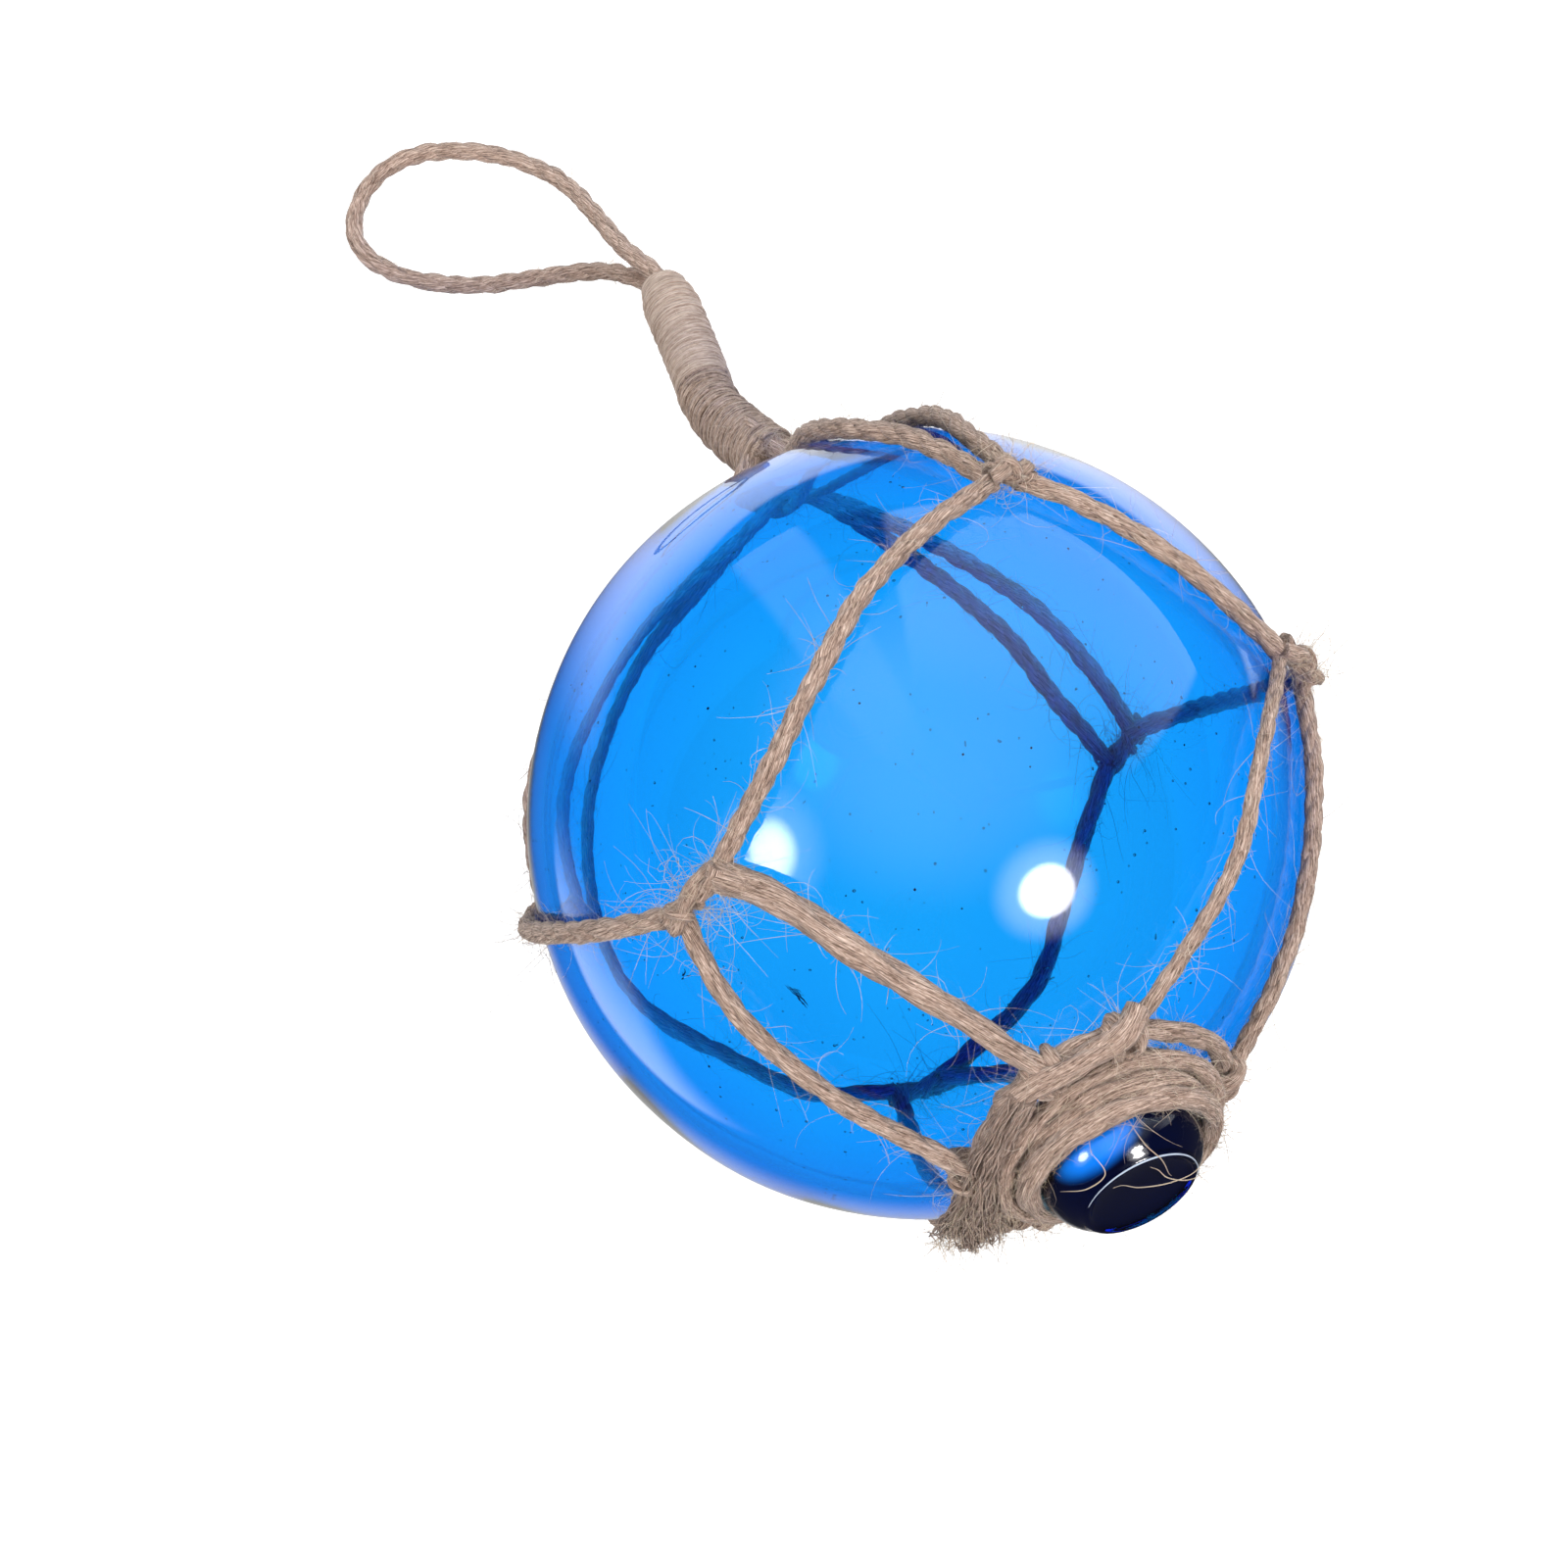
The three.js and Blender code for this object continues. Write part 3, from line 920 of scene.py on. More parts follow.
    def world(self) -> None:
        """Makes the room: dim overhead, with the soft boxes and the round lamps."""
        world = bpy.data.worlds.new("studio_room")
        world.use_nodes = True
        tree = world.node_tree
        nodes, links = tree.nodes, tree.links
        back = nodes["Background"]
        back.inputs["Strength"].default_value = 1
        way = nodes.new("ShaderNodeTexCoord")
        path = nodes.new("ShaderNodeLightPath")
        behind = joined_math(tree, "GREATER_THAN", path.outputs["Transmission Depth"], 0.5)
        lit = joined_math(tree, "MULTIPLY_ADD", behind, self.lit_behind - 1, 1)
        through = path.outputs["Is Transmission Ray"]
        bright = joined_math(tree, "MULTIPLY_ADD", through, self.seen_through - self.lit_behind, lit)
        room = nodes.new("ShaderNodeRGB")
        room.outputs[0].default_value = (*self.room_tone, 1)
        total = room.outputs[0]
        box_group, lamp_group = soft_box_group(), round_lamp_group()
        lights = [(box, box_group, self.box_values(box)) for box in self.boxes]
        lights += [(lamp, lamp_group, self.lamp_values(lamp)) for lamp in self.round_lamps]
        for light, group, values in lights:
            mask = nodes.new("ShaderNodeGroup")
            mask.node_tree = group
            links.new(way.outputs["Generated"], mask.inputs["Way"])
            for title, value in values.items():
                mask.inputs[title].default_value = value
            total = self.with_light(tree, product(tree, mask.outputs[0], bright), total, light)
        links.new(total, back.inputs["Color"])
        bpy.context.scene.world = world

    def with_light(self, tree: bpy.types.NodeTree, taken: bpy.types.NodeSocket,
                   total: bpy.types.NodeSocket, light: SoftBox | RoundLamp) -> bpy.types.NodeSocket:
        """Adds one masked light to the room's light.

        Args:
            tree: the world's nodes.
            taken: how much of the light a ray takes in.
            total: the light so far.
            light: its strength and tone.

        Returns:
            The light with this one in it.
        """
        scaled = tree.nodes.new("ShaderNodeVectorMath")
        scaled.operation = "SCALE"
        scaled.inputs[0].default_value = tuple(c * light.strength for c in light.tone)
        tree.links.new(taken, scaled.inputs["Scale"])
        both = tree.nodes.new("ShaderNodeVectorMath")
        both.operation = "ADD"
        tree.links.new(total, both.inputs[0])
        tree.links.new(scaled.outputs[0], both.inputs[1])
        return both.outputs[0]

    def floor_in_mirror(self, tree: bpy.types.NodeTree) -> bpy.types.NodeSocket:
        """The floor's light as the glass mirrors it: dark, with bright sheets.

        Args:
            tree: the floor's nodes.

        Returns:
            The strength of the light.
        """
        ahead, right, _ = self.aim()
        level = unit(ahead * [1, 1, 0])
        light = self.floor_mirror
        for sheet in self.sheets:
            masks = []
            for (onward, aside), start, full in sheet.edges:
                along = place_along(tree, onward * level + aside * right)
                masks.append(mapped(tree, along, (start, full), smooth=True))
            light = joined_math(tree, "MULTIPLY_ADD", product(tree, *masks), sheet.strength, light)
        onward, aside = place_along(tree, level), place_along(tree, right)
        apart = joined_math(tree, "MULTIPLY_ADD", onward, onward, product(tree, aside, aside))
        span = (self.round_sheet_from**2, self.round_sheet_full**2)
        mask = mapped(tree, apart, span, smooth=True)
        return joined_math(tree, "MULTIPLY_ADD", mask, self.round_sheet, light)

    def floor(self) -> bpy.types.Object:
        """Makes the pale floor, lit from within as a light table is, and dimmer in the glass's mirror.

        Returns:
            The floor.
        """
        mesh = bpy.data.meshes.new("floor")
        s = self.floor_half
        mesh.from_pydata([(-s, -s, 0), (s, -s, 0), (s, s, 0), (-s, s, 0)], [], [(0, 1, 2, 3)])
        made = bpy.data.objects.new("floor", mesh)
        pale = bpy.data.materials.new("pale_floor")
        pale.use_nodes = True
        tree = pale.node_tree
        shader = tree.nodes["Principled BSDF"]
        shader.inputs["Base Color"].default_value = (0, 0, 0, 1)
        shader.inputs["Roughness"].default_value = 0.9
        shader.inputs["Specular IOR Level"].default_value = 0
        shader.inputs["Emission Color"].default_value = (1, 1, 1, 1)
        path = tree.nodes.new("ShaderNodeLightPath")
        seen = joined_math(tree, "GREATER_THAN", path.outputs["Transmission Depth"], 1.5)
        seen = joined_math(tree, "MAXIMUM", seen, path.outputs["Is Camera Ray"])
        mirror = self.floor_in_mirror(tree)
        unseen = mixed(tree, "FLOAT", path.outputs["Is Diffuse Ray"], mirror, self.floor_glow)
        light = mixed(tree, "FLOAT", seen, unseen, self.floor_light)
        tree.links.new(light, shader.inputs["Emission Strength"])
        mesh.materials.append(pale)
        bpy.context.scene.collection.objects.link(made)
        return made

    def build(self) -> None:
        """Makes the camera, the room's light and the floor."""
        self.camera()
        self.world()
        self.floor()
        scene = bpy.context.scene
        scene.view_settings.view_transform = "Standard"
        scene.cycles.max_bounces = 8
        scene.cycles.diffuse_bounces = 2
        scene.cycles.glossy_bounces = 3
        scene.cycles.transmission_bounces = 8
        scene.cycles.volume_bounces = 0
        scene.cycles.caustics_refractive = False
        scene.cycles.caustics_reflective = False


def add_thread(maker: MeshMaker, line: Array, radius: float, own: float = 0) -> None:
    """Adds a thin thread that tapers to both its ends.

    Args:
        maker: the mesh.
        line: the thread's points.
        radius: half its width at its middle.
        own: its fibre coordinate, which sets it apart from others.
    """
    n = len(line)
    sides = 5
    section = round_section(radius * np.sin(np.linspace(0.3, 2.9, n)), sides)
    _, across, beside = carried_frames(line)
    maker.sweep(line, across, beside, section, np.full((n, sides, 3), own))


@dataclass
class Cord:
    """A laid cord along a line, of plies wound round each other.

    The diameter may change along the line.
    """

    line: Array
    diameter: float | Array
    lay: Lay = Lay.MEDIUM
    seed: int = 0
    plies: int = 3
    ply_share: float = 0.35  # a ply's radius, of the cord's diameter
    sides: int = 12

    def widths(self) -> Array:
        """The diameter at each point."""
        return np.broadcast_to(np.asarray(self.diameter, float), (len(self.line),))

    def add_to(self, maker: MeshMaker) -> None:
        """Adds the plies' surfaces to a mesh.

        Args:
            maker: the mesh.
        """
        rng = np.random.default_rng(SEED + self.seed)
        _, across, beside = carried_frames(self.line)
        along = lengths_along(self.line)
        width = self.widths()
        turn = np.cumsum(np.gradient(along) / (self.lay.value * width)) * 2 * math.pi
        ply_radius = self.ply_share * width
        offset = 0.5 * width - ply_radius
        angle = corner_angles(self.sides)
        for k in range(self.plies):
            wander = 0.25 * drifting(rng, along, 6 * MM, 1)[:, 0]
            at = turn + 2 * math.pi * k / self.plies + wander
            centre = self.line + offset[:, None] * turned_by(at, across, beside)
            swell = 1 + 0.07 * drifting(rng, along, 4 * MM, 1)
            ridge = 1 + 0.13 * drifting(rng, along, 2.6 * MM, self.sides)
            radius = ply_radius[:, None] * swell * ridge
            spin = angle[None] - 0.6 * turn[:, None]
            section = np.stack([radius * np.cos(spin), radius * np.sin(spin)], axis=-1)
            own = np.empty((len(self.line), self.sides, 3))
            own[..., 0] = along[:, None] / MM + 37.0 * k + 11.3 * self.seed
            own[..., 1] = np.cos(angle)[None] * ply_radius[:, None] / MM + 5.1 * k
            own[..., 2] = np.sin(angle)[None] * ply_radius[:, None] / MM + 2.7 * self.seed
            maker.sweep(centre, across, beside, section, own)


@dataclass
class Fibres:
    """Fine loose fibres, each a curling three-sided hair that tapers to its tip."""

    seed: int
    radius: float = 0.035 * MM
    joints: int = 7
    curl: float = 0.45

    def add_to(self, maker: MeshMaker, roots: Array, ways: Array, length: Array) -> None:
        """Adds hairs to a mesh.

        Args:
            maker: the mesh.
            roots: where each starts, n by 3.
            ways: the direction that each sets out in.
            length: how long each is.
        """
        rng = np.random.default_rng(SEED + self.seed)
        n = len(roots)
        way = unit(np.asarray(ways, float) + 0.15 * rng.normal(size=(n, 3)))
        axis = unit(rng.normal(size=(n, 3)))
        bend = rng.normal(0, self.curl, (n, 1))
        step = (np.asarray(length) / (self.joints - 1))[:, None]
        line = [np.asarray(roots, float)]
        for _ in range(self.joints - 1):
            line.append(line[-1] + way * step)
            axis = unit(axis + 0.25 * rng.normal(size=(n, 3)))
            way = unit(way + bend * np.cross(axis, way))
        path = BALL.lying(np.stack(line, axis=1), 0.05 * MM)
        tangent = unit(np.gradient(path, axis=1))
        side = unit(np.cross(tangent, np.array([0.31, 0.52, 0.79])))
        other = np.cross(tangent, side)
        taper = self.radius * np.linspace(1, 0.35, self.joints) * rng.uniform(0.7, 1.4, (n, 1))
        corner = corner_angles(3)
        ring = path[:, :, None] + taper[..., None, None] * (
            np.cos(corner)[:, None] * side[:, :, None] + np.sin(corner)[:, None] * other[:, :, None])
        i, j, k = np.meshgrid(np.arange(n), np.arange(self.joints - 1), np.arange(3), indexing="ij")
        base = (i * self.joints + j) * 3
        quads = np.stack([base + k, base + (k + 1) % 3, base + 3 + (k + 1) % 3, base + 3 + k], axis=-1)
        start = np.arange(n) * self.joints * 3
        end = start + (self.joints - 1) * 3
        caps = np.concatenate([
            np.stack([start + 1, start, start + 2], axis=1), np.stack([end, end + 1, end + 2], axis=1)])
        own = np.zeros((n, self.joints, 3, 3))
        own[..., 0] = (np.arange(self.joints) * 0.5)[None, :, None] + rng.uniform(0, 300, (n, 1, 1))
        own[..., 1] = rng.uniform(0, 40, (n, 1, 1))
        maker.add(ring.reshape(-1, 3), quads.reshape(-1, 4), caps, own.reshape(-1, 3))

    def along(self, maker: MeshMaker, cord: Cord, per_mm: float, low: float, high: float,
              stand: float = 0.9) -> None:
        """Adds hairs all over a cord's surface.

        Args:
            maker: the mesh.
            cord: the cord.
            per_mm: how many for each millimetre of it.
            low: the shortest hair.
            high: the longest.
            stand: how far they stand away from the cord, against lying along it.
        """
        rng = np.random.default_rng(SEED + 100 + self.seed)
        along = lengths_along(cord.line)
        n = max(1, int(along[-1] / MM * per_mm))
        at = rng.uniform(0, along[-1], n)
        i = np.clip(np.searchsorted(along, at), 1, len(cord.line) - 1)
        tangent, across, beside = carried_frames(cord.line)
        turn = rng.uniform(0, 2 * math.pi, n)
        out = turned_by(turn, across[i], beside[i])
        roots = cord.line[i] + out * (cord.widths()[i] * 0.42)[:, None]
        forward = tangent[i] * rng.choice([-1, 1], n)[:, None] * rng.uniform(0.3, 1.4, n)[:, None]
        length = low + (high - low) * rng.random(n) ** 2.2
        self.add_to(maker, roots, out * stand + forward, length)


@dataclass
class GlassFloat:
    """The blown ball: outer skin with its seal button, hollow inside, with seeds of air in its wall."""

    wall: float = 2 * MM
    button_radius: float = BUTTON_RADIUS
    face_radius: float = 6 * MM
    face_height: float = BUTTON_HEIGHT
    around: int = 160
    rows: int = 90
    seeds: int = 1100
    specks: int = 150
    # The larger flaws: pixel in the picture, threads, length, lean in radians
    marks: tuple[tuple, ...] = (((695, 998), 5, 0.9 * MM, -0.6), ((810, 1015), 9, 2.6 * MM, 0.75))

    def outer_profile(self) -> Array:
        """Draws the outer skin from the neck's pole to the middle of the button's face.

        Returns:
            Its points: the radius, and how far along the axis from the ball's centre.
        """
        waist = math.asin((self.button_radius - 0.7 * MM) / BALL.radius)
        a = np.linspace(0, math.pi - waist, self.rows)
        skin = np.stack([BALL.radius * np.sin(a), -BALL.radius * np.cos(a)], axis=1)
        root = skin[-1]
        face = BALL.radius + self.face_height
        r, f = self.button_radius, self.face_radius
        shape = [
            (r - 0.55 * MM, 0.5), (r - 0.1 * MM, 1.5), (r, 2.8), (r, 4.4), (r - 0.15 * MM, 5.6),
            (r - 0.6 * MM, 6.7), (r - 1.3 * MM, 7.6), (f + 0.35 * MM, 8.25),
        ]
        along = root[1] + (face - root[1]) * (np.array([s[1] for s in shape]) / 8.6)
        side = np.stack([[s[0] for s in shape], along], axis=1)
        rim = np.array([
            [f + 0.1 * MM, face - 0.05 * MM], [f - 0.15 * MM, face + 0.16 * MM],
            [f - 0.5 * MM, face + 0.1 * MM], [f - 0.8 * MM, face - 0.16 * MM],
            [f - 1.5 * MM, face - 0.32 * MM], [f * 0.45, face - 0.5 * MM], [0, face - 0.55 * MM],
        ])
        coarse = np.vstack([skin[-1], side, rim])
        flat = np.column_stack([coarse, np.zeros(len(coarse))])
        fine = even_path(flat, 0.28 * MM)[1:, :2]
        fine[-1, 0] = 0
        return np.vstack([skin, fine])

    def turned(self, maker: MeshMaker, profile: Array, inward: bool) -> None:
        """Adds a surface turned round the ball's axis.

        Args:
            maker: the mesh.
            profile: its points: the radius, and how far along the axis from the ball's centre.
            inward: whether it is the inner skin, whose faces look inwards.
        """
        n, m = len(profile), self.around
        ring = BALL.round_axis(corner_angles(m))
        points = BALL.centre + profile[:, None, 1:] * BALL.to_button + profile[:, None, :1] * ring
        points = self.uneven(points.reshape(-1, 3), inward)
        i, j = np.meshgrid(np.arange(1, n - 2), np.arange(m), indexing="ij")
        a, b = i * m + j, i * m + (j + 1) % m
        quads = np.stack([a, a + m, b + m, b], axis=-1).reshape(-1, 4)
        j = np.arange(m)
        low = np.stack([np.zeros(m, int), m + j, m + (j + 1) % m], axis=1)
        top = np.stack([np.full(m, (n - 1) * m), (n - 2) * m + (j + 1) % m, (n - 2) * m + j], axis=1)
        used = np.concatenate([[0], np.arange(m, (n - 1) * m), [(n - 1) * m]])
        order = np.zeros(n * m, int)
        order[used] = np.arange(len(used))
        quads, tris = order[quads], order[np.concatenate([low, top])]
        if inward:
            quads, tris = quads[:, ::-1], tris[:, ::-1]
        maker.add(points[used], quads, tris)

    def uneven(self, points: Array, inward: bool) -> Array:
        """Gives a skin the slight unevenness of blown glass, and the small spot that it rests on.

        Args:
            points: the skin's points.
            inward: whether it is the inner skin.

        Returns:
            The moved points.
        """
        away = (points - BALL.centre) / BALL.radius
        wave = np.sin(away @ np.array([7.1, 3.3, 2.2]) + 0.4)
        wave = wave * np.sin(away @ np.array([-2.6, 6.2, 5.1]) + 1.9)
        wave = wave + 0.5 * np.sin(away @ np.array([12.0, -9.0, 7.0]) + (1.3 if inward else 0.2))
        points = points + unit(away) * (wave * (0.05 if inward else 0.035) * MM)[:, None]
        floor = self.wall if inward else 0.0
        soft = 0.12 * MM
        low = points[:, 2] - floor
        points[:, 2] = floor + soft * np.logaddexp(0, low / soft)
        return points

    def add_seeds(self, maker: MeshMaker) -> None:
        """Adds the small bubbles of air that are caught in the wall.

        Args:
            maker: the glass's mesh.
        """
        rng = np.random.default_rng(SEED)
        shape, faces = small_ball(inward=True)
        for _ in range(self.seeds):
            way = unit(rng.normal(size=3))
            if way @ BALL.to_button > 0.95 or way[2] < -0.97:
                continue
            size = (0.05 + 0.12 * rng.random() ** 3) * MM
            depth = rng.uniform(0.35, self.wall / MM - 0.4) * MM
            stretch = unit(np.cross(way, rng.normal(size=3)))
            long = 3 if rng.random() < 0.04 else 1 + 0.5 * rng.random() ** 2
            points = shape + np.outer(shape @ stretch, stretch) * (long - 1)
            maker.add(BALL.centre + way * (BALL.radius - depth) + points * size, NO_QUADS, faces)

    def build(self, glass: bpy.types.Material, flaw: bpy.types.Material, deep: bpy.types.Material,
              rim_highlight: bpy.types.Material) -> None:
        """Makes the glass, its flaws, the button's dark heart and the painted highlight along its rim.

        Args:
            glass: the clear glass.
            flaw: the finish of the flaws.
            deep: the finish of the button's heart.
            rim_highlight: the finish of the painted highlight along its rim.
        """
        maker = MeshMaker()
        self.turned(maker, self.outer_profile(), inward=False)
        inner = BALL.radius - self.wall
        a = np.linspace(0, math.pi, self.rows)
        skin = np.stack([inner * np.sin(a), -inner * np.cos(a)], axis=1)
        self.turned(maker, skin, inward=True)
        self.add_seeds(maker)
        made = maker.piece("glass_ball", glass)
        marks = self.flaws().piece("glass_flaws", flaw)
        heart = self.button_heart().piece("button_heart", deep)
        # painted highlight: a pale line along the button's rim
        rim = self.painted_rim_highlight().piece("button_rim_painted_highlight", rim_highlight)
        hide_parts("glass_float")
        for piece in (made, marks, heart, rim):
            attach(piece, "root")

    def button_heart(self) -> MeshMaker:
        """Draws the middle of the button, where the thick glass lets no light through.

        Returns:
            Its mesh.
        """
        face = BALL.radius + self.face_height
        r, f = self.button_radius - 0.5 * MM, self.face_radius - 0.45 * MM
        profile = np.array([
            [0, face - 6.4 * MM], [r * 0.6, face - 6.3 * MM], [r * 0.95, face - 5.4 * MM],
            [r, face - 4.2 * MM], [r - 0.1 * MM, face - 3.1 * MM], [r - 0.7 * MM, face - 2 * MM],
            [f + 0.35 * MM, face - 1.1 * MM], [f * 0.86, face - 0.95 * MM],
            [f * 0.5, face - 1.2 * MM], [0, face - 1.3 * MM],
        ])
        flat = even_path(np.column_stack([profile, np.zeros(len(profile))]), 0.4 * MM)[:, :2]
        flat[[0, -1], 0] = 0
        maker = MeshMaker()
        self.turned(maker, flat, inward=False)
        return maker

    def painted_rim_highlight(self) -> MeshMaker:
        """Draws the painted highlight: a pale line along the rim of the button's face, standing for a
        reflection.

        Returns:
            Its mesh.
        """
        ring = BALL.round_axis(np.radians(np.linspace(-66, 112, 60)))
        top = BALL.centre + BALL.to_button * (BALL.radius + self.face_height + 0.12 * MM)
        maker = MeshMaker()
        add_thread(maker, top + ring * (self.face_radius + 0.05 * MM), 0.1 * MM)
        return maker

    def flaws(self) -> MeshMaker:
        """Draws the dark flaws in the wall: a curled speck, a bundle of fine threads, and small specks.

        Returns:
            Their mesh.
        """
        rng = np.random.default_rng(SEED + 5)
        maker = MeshMaker()
        studio = Studio()
        for pixel, count, reach, lean in self.marks:
            spot = studio.seen_on_ball(pixel)[0]
            out = BALL.outward(spot)
            _, right, up = studio.aim()
            way = unit(right * math.cos(lean) - up * math.sin(lean))
            way = unit(way - (way @ out) * out)
            aside = np.cross(out, way)
            for _ in range(count):
                start = rng.uniform(-0.5, 0.3) * reach
                steps = np.linspace(0, rng.uniform(0.25, 0.7) * reach, 12)
                sway = np.cumsum(rng.normal(0, 0.05 * MM, 12))
                line = spot + np.outer(start + steps, way)
                line = line + np.outer(sway + rng.normal(0, 0.13 * MM), aside)
                line = BALL.centre + BALL.outward(line) * (BALL.radius - rng.uniform(0.5, 0.9) * MM)
                add_thread(maker, line, rng.uniform(0.03, 0.08) * MM)
        shape, faces = small_ball(inward=False)
        for _ in range(self.specks):
            way = unit(rng.normal(size=3))
            if way @ BALL.to_button < 0.95:
                size = (0.06 + 0.1 * rng.random() ** 3) * MM
                maker.add(BALL.centre + way * (BALL.radius - 0.8 * MM) + shape * size, NO_QUADS, faces)
        return maker


@dataclass
class Knot:
    """A knot of the net."""

    polar: float  # degrees from the neck's pole
    around: float  # degrees round from the upper side towards +X
    half: float  # half the knot's length, in degrees round

    def end(self, side: float) -> tuple[float, float]:
        """The place of one end of the knot: the left one for -1, the right one for 1."""
        return (self.polar, self.around + side * self.half)


UPPER_KNOTS = [Knot(78, 26, 2.5), Knot(70, 132, 5), Knot(68, -108, 5)]
LOWER_KNOTS = [Knot(110, -44, 5.4), Knot(104, 70.5, 5), Knot(98.5, -168.5, 5)]
# Each cord's knot or knots with their side, and the places that it passes
NECK_CORDS = [
    (0, -1, [(44, 14), (62, 20)]),
    (0, 1, [(48, 34), (64, 29)]),
    (1, -1, [(43, 117), (56, 123)]),
    (1, 1, [(43, 128), (55, 134)]),
    (2, 1, [(42, -89), (57, -94)]),
    (2, -1, [(42, -104), (57, -108)]),
]
NECK_TURNS_DEG = (100, 40, -20, -70, 170, 225)  # where each of them leaves the neck's root
WAIST_CORDS = [
    ((0, -1), (0, 1), [(89, 0), (98, -13), (104.5, -24.5)]),
    ((0, 1), (1, -1), [(84.6, 35.6), (94, 46), (101, 57)]),
    ((1, -1), (1, 1), [(78, 114.5), (90, 97)]),
    ((1, 1), (2, -1), [(75, 147.6), (81.5, 157), (90.5, 167), (95, 178)]),
    ((2, 1), (0, -1), [(84.7, -81), (101.4, -60.7)]),
    ((2, -1), (2, 1), [(75, -118), (82.4, -130.8), (89.2, -142.8), (95.3, -152)]),
]
# As above, and where each ends on the ring, in degrees round
BUTTON_CORDS = [
    (0, 1, [(119.1, -34.5), (131.2, -31), (144.4, -26)], -18),
    (0, -1, [(121.3, -54.3), (132, -58), (143, -62.4)], -80),
    (1, -1, [(121, 55), (137.7, 49), (151, 37)], 16),
    (1, 1, [(119.8, 74), (135.8, 79), (148, 87)], 104),
    (2, -1, [(106, 175), (122, 164), (142, 153)], 150),
    (2, 1, [(115, -159), (130, -153), (146, -146)], -142),
]
# Millimetres from the neck's pole on the glass
NECK_ROUTE = [
    (5.2, 10, -1.3), (4.3, 13, -2.8), (3.6, 16.1, -4.3), (3.5, 19.7, -6.1),
    (4.2, 23.6, -7.9), (4.8, 28.2, -9.5), (5.3, 32.5, -11), (5.7, 36.3, -12.3),
]
# Millimetres from the neck's end in X and Y, and the share of the neck end's height
LOOP_ROUTE = [
    (-0.5, -3.8, 1.19), (0, 0.4, 1.08), (-0.8, 3.7, 0.98), (-1.5, 6.2, 0.9), (-2, 9.7, 0.77),
    (-2.5, 14.5, 0.62), (-3.4, 19.2, 0.47), (-5.3, 23.3, 0.33), (-8, 26.9, 0.22), (-11.6, 30, 0.12),
    (-15.4, 32, 0.05), (-19, 32.5, 0.01), (-22.4, 31.5, 0), (-25.1, 29.3, 0), (-26.6, 26.6, 0),
    (-26.4, 23.5, 0), (-24.5, 20.4, 0), (-22, 17.9, 0.01), (-18.6, 15.5, 0.04), (-15, 13.5, 0.1),
    (-10.8, 11.6, 0.2), (-6.9, 9.5, 0.33), (-4.1, 7.5, 0.47), (-2.3, 5, 0.63), (-1.1, 2.6, 0.78),
    (0, -0.4, 0.92), (-0.5, -4.6, 1.02),
]
# Millimetres along the button face's upper side and right side, and over the face
BUTTON_HAIRS = [
    [(4.6, -2.9, 0.5), (3.9, -1.9, 0.3), (2.2, -0.3, 0.4), (0.8, 2.9, 0.7), (0.5, 5.6, 0.6),
     (0.7, 7.6, -0.6)],
    [(8.8, 0.9, -3.6), (7.4, 1.4, -0.7), (5.7, 2.3, 0.5), (2.2, 2.9, 0.5), (1.2, 3.2, 0.3)],
    [(4.6, 1.2, 0.2), (3.6, 1.9, 0.3), (1.6, 2.7, 0.5), (-0.6, 4.9, 0.6), (-1.4, 7.0, 0.2)],
    [(7.9, -3.6, -2.4), (6.6, -3.2, -0.2), (5.2, -5.2, -0.3), (4.2, -7.4, -1.8)],
]
# Degrees from the neck's pole, and degrees round
TAIL_ROUTE = [(160, -30), (162, -60), (161.5, -90), (157.5, -116), (151, -134)]


def neck_points() -> Array:
    """The middle of the bound neck, from its root to its end."""
    pole = BALL.centre + BALL.to_neck * BALL.radius
    return pole + np.array(NECK_ROUTE) * MM


def loop_points() -> Array:
    """Lays the hanging loop, from inside the neck's end and back.

    Returns:
        Its points.
    """
    top = neck_points()[-1]
    lowest = LOOP_CORD / 2
    return np.array([
        (top[0] + x * MM, top[1] + y * MM, lowest + share * (top[2] - lowest))
        for x, y, share in LOOP_ROUTE
    ])


@dataclass
class HangingLoop:
    """One cord whose ends are bound into the neck; it lies on the surface."""

    diameter: float = LOOP_CORD
    step: float = 0.45 * MM

    def build(self, jute: bpy.types.Material, pale: bpy.types.Material) -> None:
        """Makes the loop and its loose fibres.

        Args:
            jute: the cord's finish.
            pale: the loose fibres' finish.
        """
        line = even_path(loop_points(), self.step)
        cord = Cord(line, self.diameter * 0.99, Lay.MEDIUM, seed=901)
        maker = MeshMaker()
        cord.add_to(maker)
        made = maker.piece("loop_cord", jute)
        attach(made, "root")
        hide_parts("hanging_loop")
        hairs = MeshMaker()
        Fibres(903, radius=0.02 * MM, joints=4).along(hairs, cord, 9, 0.4 * MM, 1.8 * MM)
        Fibres(904, radius=0.022 * MM).along(hairs, cord, 0.9, 1.5 * MM, 6 * MM, 0.7)
        fuzz = hairs.piece("loop_fibres", pale)
        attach(fuzz, "root")


